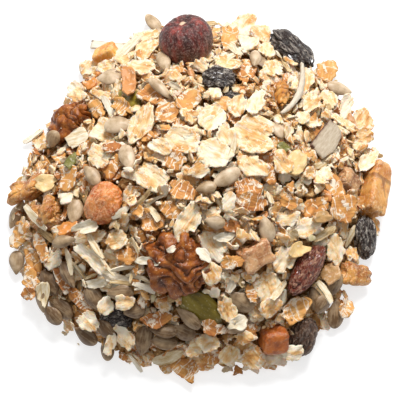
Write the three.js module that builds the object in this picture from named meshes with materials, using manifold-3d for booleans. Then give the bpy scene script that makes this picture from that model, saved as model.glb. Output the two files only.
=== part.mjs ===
// A heap of dry muesli as it lies on a table: rolled oats, bran flakes, sunflower kernels and
// coconut shreds in one poured mound, with nuts, raisins and chunks of dried fruit on it.
// Millimetres, +Z up. The origin is on the table, at the middle of the heap.

import * as THREE from "three";
import { mergeVertices } from "three/addons/utils/BufferGeometryUtils.js";
import Module from "manifold-3d";

const wasm = await Module();
wasm.setup();

// The mound. Its outline is a circle with a few broad waves, and its flank steepens to the foot.
const HEAP_RADIUS = 53.5;
const HEAP_HEIGHT = 36;
const FLANK_POWER = 1.7;
const OUTLINE_WAVES = [
  { count: 2, depth: 0.03, turn: -90 },
  { count: 3, depth: 0.027, turn: 105 },
  { count: 4, depth: 0.022, turn: -97 },
  { count: 6, depth: 0.012, turn: 0 },
];
const SLOPE_STEP = 1.5; // the mound's slope at a spot is taken over this far to either side
const CORE_DEPTH = 1.5; // the core lies this far under the heap's mean surface
const CORE_SIDES = 22;
const CORE_RINGS = 6;
const CORE_BUMP = 0.5; // how far the core's own vertices stray from its even surface
const FIT_GAP = 0.3; // between a nut or fruit and the pocket that it lies in

// Small pieces that are fused on, in the order they are laid: true sizes, few sides. rise is where
// a piece's middle starts above the mean surface, before it is let down on what lies there.
const SMALL_PIECES = [
  { kind: "oat", count: 96, length: [8.5, 12], width: 0.8, thickness: 1, lean: 20, rise: 1 },
  { kind: "bran", count: 52, length: [7, 10], width: 0.7, thickness: 1.2, lean: 28, rise: 1.4 },
  { kind: "kernel", count: 34, length: [7.5, 9], width: 0.53, thickness: 2.4, lean: 16, rise: 1.8 },
  { kind: "shred", count: 10, length: [8, 13], width: 0.15, thickness: 0.9, lean: 6, rise: 1.2 },
];
const GOLDEN_ANGLE = Math.PI * (3 - Math.sqrt(5));
const PLACE_TRIES = 5; // a piece that would cross a nut or fruit is moved this often, then skipped
const MOVE_STEP = 2; // how far each such move can go
const LOWERING = 0.3; // the step by which a piece is let down
const JOINED_VOLUME = 1; // what a piece shares with the heap once it is held, in cubic mm
const RANDOM_SEED = 57;

// Nuts, fruit and large seeds. at is the spot on the mound's surface, size is length, width and
// thickness, turn is counted about the surface normal, lean lifts the far end and roll turns it
// about its length, in degrees. rise is how far its middle stands out of the mound's surface.
const LARGE_KINDS = {
  hazelnut: [
    { name: "hazelnut", at: [-3.4, 39.1], size: [15.6, 15, 14.4], turn: 20, lean: 8, rise: 5 },
  ],
  black_raisin: [
    { name: "raisin_back_right", at: [26.9, 43.4], size: [18.5, 9.6, 7], turn: -50, rise: 2.4 },
    { name: "raisin_back", at: [5.5, 27.2], size: [9.8, 8.8, 5.6], turn: -8, rise: 2 },
    { name: "raisin_under", at: [10.7, 21.3], size: [8, 5.2, 4.2], turn: -25, rise: 0.2 },
    { name: "raisin_right", at: [46.4, -12.7], size: [13, 7.2, 6], turn: 94, rise: 2.2 },
    { name: "raisin_sunk", at: [-23.1, -37.7], size: [10, 7, 5], turn: 5, rise: 0.2 },
  ],
  red_raisin: [
    { name: "raisin_red", at: [28.9, -24.3], size: [17, 7.4, 6.4], turn: 48, rise: 2.4 },
  ],
  brown_raisin: [
    { name: "raisin_front", at: [28.8, -40.7], size: [12, 8.2, 7.2], turn: 76, rise: 2.4 },
  ],
  sultana: [
    { name: "sultana", at: [-24.9, -8.4], size: [13, 10.4, 8], turn: 40, rise: 2.6 },
  ],
  walnut: [
    { name: "walnut_centre", at: [-5.4, -24.2], size: [18, 16.5, 9.5], turn: -35, rise: 2.8 },
    { name: "walnut_left", at: [-35.9, 18.6], size: [15, 8.8, 8], turn: 8, rise: 2.6 },
    { name: "walnut_crumb", at: [23.3, 25.1], size: [10.4, 3.8, 3.6], turn: 86, rise: 1.2 },
  ],
  pumpkin_seed: [
    { name: "pumpkin_seed_front", at: [1, -35.4], size: [14, 9.4, 3], turn: -40, rise: 1.4 },
    { name: "pumpkin_seed_back", at: [-19.9, 23.3], size: [13.5, 7.6, 2.6], turn: -49, rise: 0.8 },
  ],
  fruit: [
    { name: "fruit_bar_right", at: [49.4, 1.8], size: [17.4, 8, 6.4], turn: 74, rise: 2.6 },
    { name: "fruit_front", at: [20.5, -42], size: [7.8, 7.4, 7], turn: -6, rise: 2.4 },
    { name: "fruit_centre", at: [15.2, -22.2], size: [10.4, 8, 5.4], turn: 24, rise: 1.6 },
    { name: "fruit_back_left", at: [-26.6, 41.9], size: [7.6, 6, 5.4], turn: -8, rise: 2 },
    { name: "fruit_left_edge", at: [-47.2, 0.4], size: [14, 6.4, 5], turn: 16, lean: -25, rise: 2.4 },
    { name: "fruit_left", at: [-41.6, -7.9], size: [13, 8.6, 6.6], turn: 10, rise: 2 },
    { name: "fruit_right", at: [42.1, 2.1], size: [8, 7, 5], turn: -30, rise: 1.4 },
    { name: "fruit_right_low", at: [42.6, -23.2], size: [11, 7, 4.8], turn: -14, lean: 12, rise: 2.6 },
  ],
  chip: [
    { name: "coconut_chip", at: [34.8, 12.3], size: [13.6, 8, 1.6], turn: 58, lean: 6, rise: 1.6 },
    { name: "coconut_chip_back", at: [-26.8, 46.9], size: [11, 3.4, 1.6], turn: -12, rise: 1.8 },
  ],
  shred: [
    { name: "coconut_shred", at: [27.6, 25.4], size: [22, 1.7, 0.9], turn: 255, lean: -10, rise: 2.6 },
  ],
};
const LARGE_PIECES = Object.entries(LARGE_KINDS).flatMap(([kind, pieces]) =>
  pieces.map((piece) => ({ kind, ...piece })),
);

const COLOURS = {
  heap: 0xd9b483,
  hazelnut: 0x4a1d16,
  black_raisin: 0x2a2422,
  brown_raisin: 0x4a3328,
  red_raisin: 0x54211a,
  sultana: 0xb56a3c,
  walnut: 0x8a4a1e,
  pumpkin_seed: 0x7a7a2c,
  fruit: 0xc98a4a,
  chip: 0xc2b6a2,
  shred: 0xddd4c4,
};

const radians = THREE.MathUtils.degToRad;

// A repeatable source of numbers from 0 to 1.
function randomSource(seed) {
  let state = seed >>> 0;
  return () => {
    state = (Math.imul(state, 1664525) + 1013904223) >>> 0;
    return state / 4294967296;
  };
}

const random = randomSource(RANDOM_SEED);
const between = (low, high) => low + (high - low) * random();

// ---- The mound's surface ----

function outlineRadius(angle) {
  const wave = ({ count, depth, turn }) => depth * Math.cos(count * angle + radians(turn));
  return HEAP_RADIUS * (1 + OUTLINE_WAVES.reduce((sum, w) => sum + wave(w), 0));
}

function surfaceHeight(x, y) {
  const share = Math.hypot(x, y) / outlineRadius(Math.atan2(y, x));
  return HEAP_HEIGHT * (1 - Math.min(share, 1) ** FLANK_POWER);
}

function surfaceNormal(x, y) {
  const fallX = surfaceHeight(x - SLOPE_STEP, y) - surfaceHeight(x + SLOPE_STEP, y);
  const fallY = surfaceHeight(x, y - SLOPE_STEP) - surfaceHeight(x, y + SLOPE_STEP);
  return new THREE.Vector3(fallX, fallY, 2 * SLOPE_STEP).normalize();
}

// The matrix of a piece that lies on the mound, its thickness along the surface normal.
function poseOnMound({ at: [x, y], turn = 0, lean = 0, roll = 0, rise = 0 }) {
  const up = surfaceNormal(x, y);
  const along = new THREE.Vector3(1, 0, 0).addScaledVector(up, -up.x).normalize();
  const across = new THREE.Vector3().crossVectors(up, along);
  const middle = new THREE.Vector3(x, y, surfaceHeight(x, y)).addScaledVector(up, rise);
  return new THREE.Matrix4()
    .makeBasis(along, across, up)
    .multiply(new THREE.Matrix4().makeRotationZ(radians(turn)))
    .multiply(new THREE.Matrix4().makeRotationY(radians(-lean)))
    .multiply(new THREE.Matrix4().makeRotationX(radians(roll)))
    .setPosition(middle);
}

// ---- Closed shapes, each about its own middle, with its length along X and thickness along Z ----

// A ball whose poles are at the ends of its length; relief(around, along) scales its radius.
function lump([length, width, thickness], sides, rings, relief = () => 1) {
  const geometry = new THREE.SphereGeometry(0.5, sides, rings).rotateZ(-Math.PI / 2);
  const position = geometry.getAttribute("position");
  for (let i = 0; i < position.count; i++) {
    const point = new THREE.Vector3().fromBufferAttribute(position, i);
    const off = Math.hypot(point.y, point.z);
    const around = off > 1e-6 ? Math.atan2(point.z, point.y) : 0;
    point.multiplyScalar(relief(around, 2 * point.x));
    position.setXYZ(i, point.x * length, point.y * width, point.z * thickness);
  }
  return geometry;
}

// An outline of straight stretches, given thickness, and bent up towards its ends.
function plate(points, thickness, bend = 0) {
  const outline = new THREE.Shape(points.map(([x, y]) => new THREE.Vector2(x, y)));
  const geometry = new THREE.ExtrudeGeometry(outline, { depth: thickness, bevelEnabled: false });
  const position = geometry.getAttribute("position");
  for (let i = 0; i < position.count; i++) {
    const lift = bend * position.getX(i) ** 2 - thickness / 2;
    position.setZ(i, position.getZ(i) + lift);
  }
  return geometry;
}

// Broad shoulders, one of them higher, round a sunk tip, and a foot that narrows.
function hazelnut(size) {
  const [length, width, height] = size;
  const skin = (around, along) => {
    const upper = Math.max(0, along);
    const lower = Math.max(0, -along);
    const shoulders = (0.2 - 0.12 * upper * Math.sin(around)) * along ** 2 * (1 - along ** 2);
    return 1 + shoulders - 0.12 * upper ** 8 - 0.05 * lower ** 2;
  };
  return lump([height, width, length], 16, 10, skin).rotateY(-Math.PI / 2);
}

function raisin(size, seed) {
  const folds = (around, along) =>
    1 +
    0.13 * Math.cos(3 * around + 2.2 * along + seed) * (1 - along ** 2) +
    0.08 * Math.cos(5 * around - 3.1 * along + 2 * seed) * (1 - along ** 4);
  return lump(size, 12, 8, folds);
}

function walnut(size, seed) {
  const [length] = size;
  const detail = length > 10 ? [20, 12] : [10, 6];
  const lobes = (around, along) =>
    1 +
    0.15 * Math.sin(3 * around + 2.4 * Math.sin(3.2 * along + seed)) * (1 - along ** 4) +
    0.09 * Math.sin(5 * around - 4.6 * along + 2 * seed) * (1 - along ** 2);
  return lump(size, ...detail, lobes);
}

function pumpkinSeed(size) {
  const flat = (around, along) => 1 + 0.16 * Math.abs(Math.cos(around)) ** 3 * (1 - along ** 2);
  const geometry = lump(size, 12, 8, flat);
  const position = geometry.getAttribute("position");
  for (let i = 0; i < position.count; i++) {
    const narrowing = 1 - 0.28 * (position.getX(i) / size[0] + 0.5) ** 2;
    position.setY(i, position.getY(i) * narrowing);
  }
  return geometry;
}

// A rough block of dried fruit: a box whose corners draw in and whose faces sag.
function fruitChunk(size, seed) {
  const geometry = new THREE.BoxGeometry(1, 1, 1, 3, 3, 3);
  const position = geometry.getAttribute("position");
  for (let i = 0; i < position.count; i++) {
    const point = new THREE.Vector3().fromBufferAttribute(position, i);
    const round = point.clone().setLength(0.62);
    point.lerp(round, 0.42);
    const sag = 1 + 0.1 * Math.sin(7 * point.x + seed) * Math.cos(6 * point.y + 2 * seed);
    const pinch = 1 + 0.12 * Math.sin(5 * point.z + 4 * point.x + 3 * seed);
    position.setXYZ(i, point.x * size[0] * sag, point.y * size[1] * pinch, point.z * size[2] * sag);
  }
  return geometry;
}

function coconutChip([length, width, thickness]) {
  const outline = [
    [-0.5, -0.12],
    [-0.3, -0.42],
    [0.12, -0.5],
    [0.5, -0.2],
    [0.42, 0.3],
    [0.05, 0.5],
    [-0.34, 0.28],
  ];
  return plate(
    outline.map(([x, y]) => [x * length, y * width]),
    thickness,
    0.008,
  );
}

function shred([length, width, thickness]) {
  const geometry = new THREE.BoxGeometry(length, width, thickness, 4, 1, 1);
  const position = geometry.getAttribute("position");
  for (let i = 0; i < position.count; i++) {
    const along = (2 * position.getX(i)) / length;
    const narrowing = 1 - 0.5 * along ** 2;
    position.setY(i, position.getY(i) * narrowing - 0.12 * length * along ** 2);
  }
  return geometry;
}

// A rolled flake: an uneven outline of a few sides, a little cupped.
function flake([length, width, thickness], sides) {
  const points = Array.from({ length: sides }, (_, i) => {
    const angle = ((i + between(-0.25, 0.25)) / sides) * 2 * Math.PI;
    const reach = between(0.43, 0.54);
    return [Math.cos(angle) * reach * length, Math.sin(angle) * reach * width];
  });
  return plate(points, thickness, between(-0.012, 0.02));
}

function kernel(size) {
  const teardrop = (around, along) => 1 - 0.1 * Math.max(0, along);
  return lump(size, 6, 3, teardrop);
}

const LARGE_SHAPES = {
  hazelnut,
  black_raisin: raisin,
  brown_raisin: raisin,
  red_raisin: raisin,
  sultana: raisin,
  walnut,
  pumpkin_seed: pumpkinSeed,
  fruit: fruitChunk,
  chip: coconutChip,
  shred,
};

const SMALL_SHAPES = {
  oat: (size) => flake(size, 6),
  bran: (size) => flake(size, 5),
  kernel,
  shred,
};

// ---- Solids ----

function toSolid(geometry) {
  const bare = new THREE.BufferGeometry()
    .setAttribute("position", geometry.getAttribute("position"))
    .setIndex(geometry.getIndex());
  const merged = mergeVertices(bare, 1e-4);
  return new wasm.Manifold(
    new wasm.Mesh({
      numProp: 3,
      vertProperties: merged.getAttribute("position").array,
      triVerts: new Uint32Array(merged.getIndex().array),
    }),
  );
}

function toGeometry(solid) {
  const { vertProperties, triVerts } = solid.getMesh();
  const geometry = new THREE.BufferGeometry()
    .setAttribute("position", new THREE.BufferAttribute(vertProperties, 3))
    .setIndex(new THREE.BufferAttribute(triVerts, 1));
  geometry.computeVertexNormals();
  return geometry;
}

function boxesMeet(a, b) {
  return [0, 1, 2].every((i) => a.min[i] < b.max[i] && b.min[i] < a.max[i]);
}

// The solid core: rings of vertices from the foot to the summit, over a flat base.
function coreSolid() {
  const vertices = [0, 0, 0];
  const triangles = [];
  const ringStart = (ring) => 1 + ring * CORE_SIDES;
  for (let ring = 0; ring < CORE_RINGS; ring++) {
    const share = 1 - ring / CORE_RINGS;
    for (let side = 0; side < CORE_SIDES; side++) {
      const angle = (2 * Math.PI * side) / CORE_SIDES;
      const reach = (outlineRadius(angle) - CORE_DEPTH) * share;
      const [x, y] = [reach * Math.cos(angle), reach * Math.sin(angle)];
      const height = ring ? surfaceHeight(x, y) - CORE_DEPTH + between(-CORE_BUMP, CORE_BUMP) : 0;
      vertices.push(x, y, height);
    }
  }
  const summit = ringStart(CORE_RINGS);
  vertices.push(0, 0, HEAP_HEIGHT - CORE_DEPTH);
  for (let side = 0; side < CORE_SIDES; side++) {
    const next = (side + 1) % CORE_SIDES;
    triangles.push(0, ringStart(0) + next, ringStart(0) + side);
    for (let ring = 0; ring < CORE_RINGS - 1; ring++) {
      const [low, high] = [ringStart(ring), ringStart(ring + 1)];
      triangles.push(low + side, low + next, high + side);
      triangles.push(low + next, high + next, high + side);
    }
    const last = ringStart(CORE_RINGS - 1);
    triangles.push(last + side, last + next, summit);
  }
  const geometry = new THREE.BufferGeometry()
    .setAttribute("position", new THREE.Float32BufferAttribute(vertices, 3))
    .setIndex(triangles);
  return toSolid(geometry);
}

function largeSolid(piece, index, grow) {
  const size = piece.size.map((side) => side + 2 * grow);
  return toSolid(LARGE_SHAPES[piece.kind](size, index + 1).applyMatrix4(poseOnMound(piece)));
}

function crossesPocket(solid, pockets) {
  const box = solid.boundingBox();
  return pockets.some((p) => boxesMeet(box, p.box) && !p.solid.intersect(solid).isEmpty());
}

// A piece is let down until the heap holds it. It is null where a pocket is in its way.
function letDown(geometry, pose, heap, pockets) {
  for (let rise = pose.rise; rise > -CORE_DEPTH - pose.rise; rise -= LOWERING) {
    const solid = toSolid(geometry.clone().applyMatrix4(poseOnMound({ ...pose, rise })));
    if (crossesPocket(solid, pockets)) return null;
    if (solid.intersect(heap).volume() > JOINED_VOLUME) return solid;
  }
  return null;
}

// The heap with one more small piece, near its spot, or as it was where there is no room.
function withSmallPiece(heap, { rule, spot: [x, y] }, pockets) {
  const length = between(...rule.length);
  const size = [length, length * rule.width * between(0.88, 1.12), rule.thickness];
  const geometry = SMALL_SHAPES[rule.kind](size);
  for (let attempt = 0; attempt < PLACE_TRIES; attempt++) {
    const stray = attempt * MOVE_STEP;
    const pose = {
      at: [x + between(-stray, stray), y + between(-stray, stray)],
      turn: between(0, 360),
      lean: between(-rule.lean, rule.lean),
      roll: between(-rule.lean, rule.lean),
      rise: rule.rise,
    };
    const solid = letDown(geometry, pose, heap, pockets);
    if (solid) return heap.add(solid);
  }
  return heap;
}

// Every small piece has a spot on one spiral that spreads them evenly, and the kinds are dealt out
// to the spots at random.
function smallPieceSpots() {
  const rules = SMALL_PIECES.flatMap((rule) => Array.from({ length: rule.count }, () => rule));
  const spots = rules.map((_, i) => {
    const angle = i * GOLDEN_ANGLE;
    const reach = Math.sqrt((i + 0.5) / rules.length) * (outlineRadius(angle) - CORE_DEPTH / 2);
    return { spot: [reach * Math.cos(angle), reach * Math.sin(angle)], draw: random() };
  });
  spots.sort((a, b) => a.draw - b.draw);
  return spots.map(({ spot }, i) => ({ rule: rules[i], spot }));
}

// What lies under the table's surface is cut off, and the largest body is kept whole and solid.
function cutAndKeepLargest(solid) {
  const side = 4 * HEAP_RADIUS;
  const table = toSolid(new THREE.BoxGeometry(side, side, side).translate(0, 0, -side / 2));
  const bodies = solid.subtract(table).decompose();
  return bodies.reduce((best, body) => (body.volume() > best.volume() ? body : best));
}

function heapSolid() {
  const pockets = LARGE_PIECES.map((piece, i) => {
    const solid = largeSolid(piece, i, FIT_GAP);
    return { solid, box: solid.boundingBox() };
  });
  const core = pockets.reduce((solid, pocket) => solid.subtract(pocket.solid), coreSolid());
  const joined = smallPieceSpots().reduce((heap, piece) => withSmallPiece(heap, piece, pockets), core);
  return cutAndKeepLargest(joined);
}

// ---- The scene graph ----

function paintedMesh(name, geometry, colour, roughness) {
  const material = new THREE.MeshStandardMaterial({ color: colour, roughness, metalness: 0 });
  const mesh = new THREE.Mesh(geometry, material);
  mesh.name = name;
  return mesh;
}

const muesli = new THREE.Group();
muesli.add(paintedMesh("muesli_heap", toGeometry(heapSolid()), COLOURS.heap, 0.85));
LARGE_PIECES.forEach((piece, index) => {
  const geometry = LARGE_SHAPES[piece.kind](piece.size, index + 1);
  const mesh = paintedMesh(piece.name, geometry, COLOURS[piece.kind], 0.6);
  mesh.applyMatrix4(poseOnMound(piece));
  muesli.add(mesh);
});

// The origin is the middle of the whole heap's box.
const box = new THREE.Box3().setFromObject(muesli, true);
const middle = box.getCenter(new THREE.Vector3());
muesli.position.set(-middle.x, -middle.y, 0);

export default muesli;
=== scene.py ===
"""A heap of dry muesli on a white table: the real flakes, seeds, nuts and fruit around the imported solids.

Lengths are in millimetres, about the mound's own axis, until a mesh is made from them in metres."""

import math
from collections import namedtuple

import bpy
import numpy as np
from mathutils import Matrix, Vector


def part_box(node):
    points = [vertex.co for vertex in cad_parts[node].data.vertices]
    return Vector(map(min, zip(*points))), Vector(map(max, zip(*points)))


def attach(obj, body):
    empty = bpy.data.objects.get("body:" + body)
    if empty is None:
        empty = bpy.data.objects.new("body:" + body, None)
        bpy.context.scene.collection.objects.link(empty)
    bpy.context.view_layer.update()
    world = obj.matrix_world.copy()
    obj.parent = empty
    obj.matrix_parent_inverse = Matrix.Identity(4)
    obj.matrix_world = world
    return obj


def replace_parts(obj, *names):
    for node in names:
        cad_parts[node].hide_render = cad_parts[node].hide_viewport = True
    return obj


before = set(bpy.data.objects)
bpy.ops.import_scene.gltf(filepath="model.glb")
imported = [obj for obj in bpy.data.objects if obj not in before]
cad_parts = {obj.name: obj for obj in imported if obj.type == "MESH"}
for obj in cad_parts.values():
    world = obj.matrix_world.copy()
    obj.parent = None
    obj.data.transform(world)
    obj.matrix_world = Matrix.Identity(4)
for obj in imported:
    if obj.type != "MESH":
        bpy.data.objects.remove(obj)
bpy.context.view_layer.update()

MM = 0.001

# ---- The photograph's view ----

IMAGE_WIDTH = 400
PIXELS_PER_MM = 3.4  # at the camera's distance
MOUND_PIXEL = (198.5, 199.0)  # where the mound's axis meets the table
CAMERA_ELEVATION = math.radians(75)
CAMERA_DISTANCE = 450.0
SENSOR = 36.0

# ---- The mound, as in the part's source ----

HEAP_RADIUS = 53.5
HEAP_HEIGHT = 36.0
FLANK_POWER = 1.7
OUTLINE_WAVES = [(2, 0.03, -90), (3, 0.027, 105), (4, 0.022, -97), (6, 0.012, 0)]  # count, depth, turn
NORMAL_STEP = 1.5

# turn and lean are in degrees, and rise is how far its middle is above the mound
Topping = namedtuple("Topping", "name at size turn lean rise")
TOPPINGS = {
    t.name: t
    for t in [
        Topping("hazelnut", (-3.4, 39.1), (15.6, 15, 14.4), 20, 8, 5),
        Topping("raisin_back_right", (26.9, 43.4), (18.5, 9.6, 7), -50, 0, 2.4),
        Topping("raisin_back", (5.5, 27.2), (9.8, 8.8, 5.6), -8, 0, 2),
        Topping("raisin_under", (10.7, 21.3), (8, 5.2, 4.2), -25, 0, 0.2),
        Topping("raisin_right", (46.4, -12.7), (13, 7.2, 6), 94, 0, 2.2),
        Topping("raisin_sunk", (-23.1, -37.7), (10, 7, 5), 5, 0, 0.2),
        Topping("raisin_red", (28.9, -24.3), (17, 7.4, 6.4), 48, 0, 2.4),
        Topping("raisin_front", (28.8, -40.7), (12, 8.2, 7.2), 76, 0, 2.4),
        Topping("sultana", (-24.9, -8.4), (13, 10.4, 8), 40, 0, 2.6),
        Topping("walnut_centre", (-5.4, -24.2), (18, 16.5, 9.5), -35, 0, 2.8),
        Topping("walnut_left", (-35.9, 18.6), (15, 8.8, 8), 8, 0, 2.6),
        Topping("walnut_crumb", (23.3, 25.1), (10.4, 3.8, 3.6), 86, 0, 1.2),
        Topping("pumpkin_seed_front", (1, -35.4), (14, 9.4, 3), -40, 0, 1.4),
        Topping("pumpkin_seed_back", (-19.9, 23.3), (13.5, 7.6, 2.6), -49, 0, 0.8),
        Topping("fruit_bar_right", (49.4, 1.8), (17.4, 8, 6.4), 74, 0, 2.6),
        Topping("fruit_front", (20.5, -42), (7.8, 7.4, 7), -6, 0, 2.4),
        Topping("fruit_centre", (15.2, -22.2), (10.4, 8, 5.4), 24, 0, 1.6),
        Topping("fruit_back_left", (-26.6, 41.9), (7.6, 6, 5.4), -8, 0, 2),
        Topping("fruit_left_edge", (-47.2, 0.4), (14, 6.4, 5), 16, -25, 2.4),
        Topping("fruit_left", (-41.6, -7.9), (13, 8.6, 6.6), 10, 0, 2),
        Topping("fruit_right", (42.1, 2.1), (8, 7, 5), -30, 0, 1.4),
        Topping("fruit_right_low", (42.6, -23.2), (11, 7, 4.8), -14, 12, 2.6),
        Topping("coconut_chip", (34.8, 12.3), (13.6, 8, 1.6), 58, 6, 1.6),
        Topping("coconut_chip_back", (-26.8, 46.9), (11, 3.4, 1.6), -12, 0, 1.8),
        Topping("coconut_shred", (27.6, 25.4), (22, 1.7, 0.9), 255, -10, 2.6),
    ]
}

# ---- Pieces that can be told apart in the photograph ----
# pixel x, pixel y, length, width, turn in degrees from the image's right, and tone, which is 0 for the
# palest and 1 for a brown piece, or up to 1.3 for the kernels low on the front flank, darkened as painted
# shade

SHOWN_OATS = [
    (90, 70, 6.2, 5.2, 40, 0.35), (78, 93, 6, 3.8, -20, 0.1), (79, 101, 5.6, 3.6, -8, 0.5),
    (108, 71, 5.8, 4, 5, 0.5), (141, 71, 7.4, 5, 0, 0.25), (147, 54, 7.6, 5.6, 35, 0.45),
    (148, 40, 6.4, 4, 20, 0.2), (102, 98, 7.4, 3.2, -15, 0.3), (104, 132, 9.2, 7.4, -15, 0.3),
    (142, 129, 12, 6, 69, 0.3), (98, 160, 8.4, 7.2, 20, 0.35), (40, 142, 6, 4, 70, 0.5),
    (152, 179, 8.8, 7.4, -30, 0.35), (184, 142, 10.6, 7.6, 0, 0.35), (245, 29, 8, 6.8, 30, 0.3),
    (262, 37, 6.8, 5, -40, 0.3), (266, 54, 5.6, 5, 60, 0.3), (272, 70, 6.6, 5.2, -35, 0.35),
    (247, 47, 6.4, 5, 20, 0.05), (305, 85, 8, 5.2, 80, 0.45), (328, 102, 5.6, 4.8, -50, 0.25),
    (344, 109, 6.6, 5, 60, 0.3), (311, 108, 5.6, 4.6, 30, 0.25), (251, 136, 14, 10.4, -25, 0.42),
    (362, 125, 7.4, 6.2, 60, 0.4), (361, 141, 6.6, 5.4, 10, 0.45), (212, 122, 7.6, 6.2, 20, 0.2),
    (255, 108, 7.8, 5.6, 75, 0.1), (237, 109, 7, 5, 80, 0.35), (253, 167, 9, 6.8, -35, 0.3),
    (214, 156, 8.6, 7.6, -30, 0.1), (367, 165, 8, 4.2, 45, 0.2), (326, 175, 4.2, 3.8, 0, 0.5),
    (69, 231, 9.4, 6.2, 10, 0.35), (89, 240, 9, 4.4, 12, 0.3), (92, 261, 10.5, 5.4, -45, 0.2),
    (115, 242, 7.4, 5.4, 15, 0.5), (55, 261, 6.6, 5.4, 40, 0.05), (107, 309, 5, 4.4, 60, 0.15),
    (124, 306, 6, 4.6, 10, 0.25), (89, 325, 7, 5.2, -50, 0.1), (126, 338, 7.8, 5.6, -65, 0.3),
    (110, 349, 6.8, 3.8, 80, 0.2), (189, 225, 10.4, 6.4, 60, 0.2), (195, 350, 6.4, 5.2, 20, 0.25),
    (214, 217, 4.6, 4.2, 30, 0.2), (306, 228, 8.8, 5.8, 25, 0.1), (335, 254, 8.8, 6, -70, 0.3),
    (214, 246, 9.4, 6, -55, 0.1), (211, 277, 7.2, 5, -70, 0.35), (267, 288, 9, 7.2, -70, 0.4),
    (284, 261, 8, 5.8, 60, 0.3), (227, 314, 8, 5.6, -75, 0.4), (270, 311, 6.4, 5, 40, 0.5),
    (274, 361, 6.2, 4.8, -30, 0.05), (290, 358, 7, 4.6, 20, 0.1), (230, 356, 6.6, 5.6, 60, 0.5),
    (251, 359, 8.2, 6.2, -50, 0.55), (207, 345, 6.4, 5.4, 30, 0.3), (245, 342, 6.4, 4, -20, 0.5),
    (288, 220, 6.4, 4.8, 10, 0.5), (302, 120, 5, 4, 40, 0.1), (226, 138, 6, 5, -50, 0.2),
    (198, 172, 6.4, 5.4, 30, 0.25), (160, 150, 6, 5, -20, 0.3), (228, 205, 5.4, 4.4, 50, 0.15),
    (172, 257, 2.6, 2, 20, 0),
]
SHOWN_BRAN = [
    (124, 110, 6.8, 4.4, -30, 0.4), (152, 97, 7.4, 5.8, 20, 0.6), (168, 115, 6.8, 5.8, -60, 0.5),
    (189, 105, 7, 5.2, 20, 0.5), (98, 112, 5.8, 4.4, -40, 0.4), (112, 169, 7, 4.8, 40, 0.5),
    (69, 181, 7.4, 5, 70, 0.5), (173, 162, 7.4, 5.2, -10, 0.6), (182, 192, 7.6, 5, -25, 0.6),
    (229, 43, 8.8, 5, 80, 0.3), (247, 75, 7, 4.8, 60, 0.7), (268, 88, 8.6, 6.2, -35, 0.5),
    (326, 73, 8, 6, 80, 0.3), (315, 128, 8, 4.4, 70, 0.5), (326, 162, 7.6, 3.2, 10, 0.5),
    (334, 189, 9.6, 4.6, -50, 0.5), (247, 192, 8.2, 5.4, 10, 0.7), (266, 176, 6.6, 4, -50, 0.6),
    (251, 205, 9, 5, -20, 0.7), (290, 204, 7.4, 4.4, -25, 0.6), (315, 208, 8.6, 5.6, 25, 0.5),
    (342, 214, 9, 8, -10, 0.5), (19, 238, 7.8, 5.2, 75, 0.4), (42, 250, 8, 3.6, -75, 0.5),
    (33, 262, 9.2, 4.2, -70, 0.45), (32, 282, 7.6, 4.6, -55, 0.4), (80, 302, 9.6, 4.6, -60, 0.75),
    (63, 281, 8, 3.2, -65, 0.95),
    (157, 322, 9.4, 4.4, 20, 0.8), (232, 264, 6.4, 4.2, 25, 0.5), (294, 312, 10, 6.2, 25, 0.35),
    (184, 371, 8.2, 6.4, -40, 0.5), (215, 358, 6.4, 4, 15, 0.6), (251, 296, 5.6, 3.4, -70, 0.5),
    (232, 228, 7, 3, -15, 0.8), (344, 311, 5.4, 4, 70, 0.4), (154, 224, 6.2, 5, 30, 0.5),
    (214, 331, 7.4, 4, -35, 0.8), (250, 334, 6.2, 3.6, 35, 0.7), (128, 258, 6.4, 4.6, 0, 0.6),
    (170, 213, 5.6, 4.6, -40, 0.5), (32, 298, 4.6, 3.6, 30, 0.7),
]
# the kernels low on the front flank have high tones: painted shade
SHOWN_KERNELS = [
    (155, 29, 8, 3.8, 124, 0.3), (164, 65, 6, 3.8, 120, 0.3), (110, 82, 7.2, 4.8, 5, 0.2),
    (119, 128, 8.2, 4.8, 183, 0.1), (128, 161, 7.8, 4.5, 110, 0.15), (161, 94, 9, 3, 135, 0.2),
    (93, 179, 6.6, 4, -50, 0.5), (55, 146, 5.2, 4, 70, 0.5), (255, 65, 4.8, 3.6, 80, 0.1),
    (338, 94, 7.8, 3.8, 165, 0.1), (278, 132, 5.6, 3.4, -50, 0.2), (227, 180, 8.4, 4.4, 30, 0.1),
    (206, 190, 5.8, 3.4, 10, 0.5), (76, 213, 7, 4.4, 80, 0.4), (18, 265, 7, 4.6, 85, 0.5),
    (50, 284, 8, 5, -60, 1.2), (69, 278, 8.2, 3.8, 115, 1.2), (95, 301, 7.4, 5, 115, 1),
    (121, 296, 7.4, 4.6, 8, 0.9), (62, 310, 8, 5, -40, 1.1), (55, 319, 6.4, 4.4, -60, 1.1),
    (135, 313, 6.4, 4.6, 20, 1.1), (107, 331, 6, 4.6, -60, 1.1), (87, 339, 7.6, 4.4, -35, 1.3),
    (144, 342, 8.6, 5, 80, 1), (164, 344, 8, 4.4, -5, 0.9), (184, 334, 7, 4.6, -30, 1),
    (164, 333, 8, 3.8, -8, 1), (189, 321, 8.4, 3.8, -50, 0.9), (266, 231, 8, 4.4, -72, 0.1),
    (241, 304, 7.8, 5.6, -40, 0.8), (314, 301, 7, 4.2, -75, 0.9), (333, 287, 7.6, 4.6, 80, 0.9),
    (335, 316, 8.6, 4.8, -90, 0.9), (66, 247, 6.6, 3.4, 205, 0.6), (44, 301, 8.8, 4, 85, 0.8),
    (236, 328, 6.6, 5, 40, 0.4), (215, 226, 5.6, 3.6, -10, 0.2), (320, 309, 6, 4.2, 60, 1),
]
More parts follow.
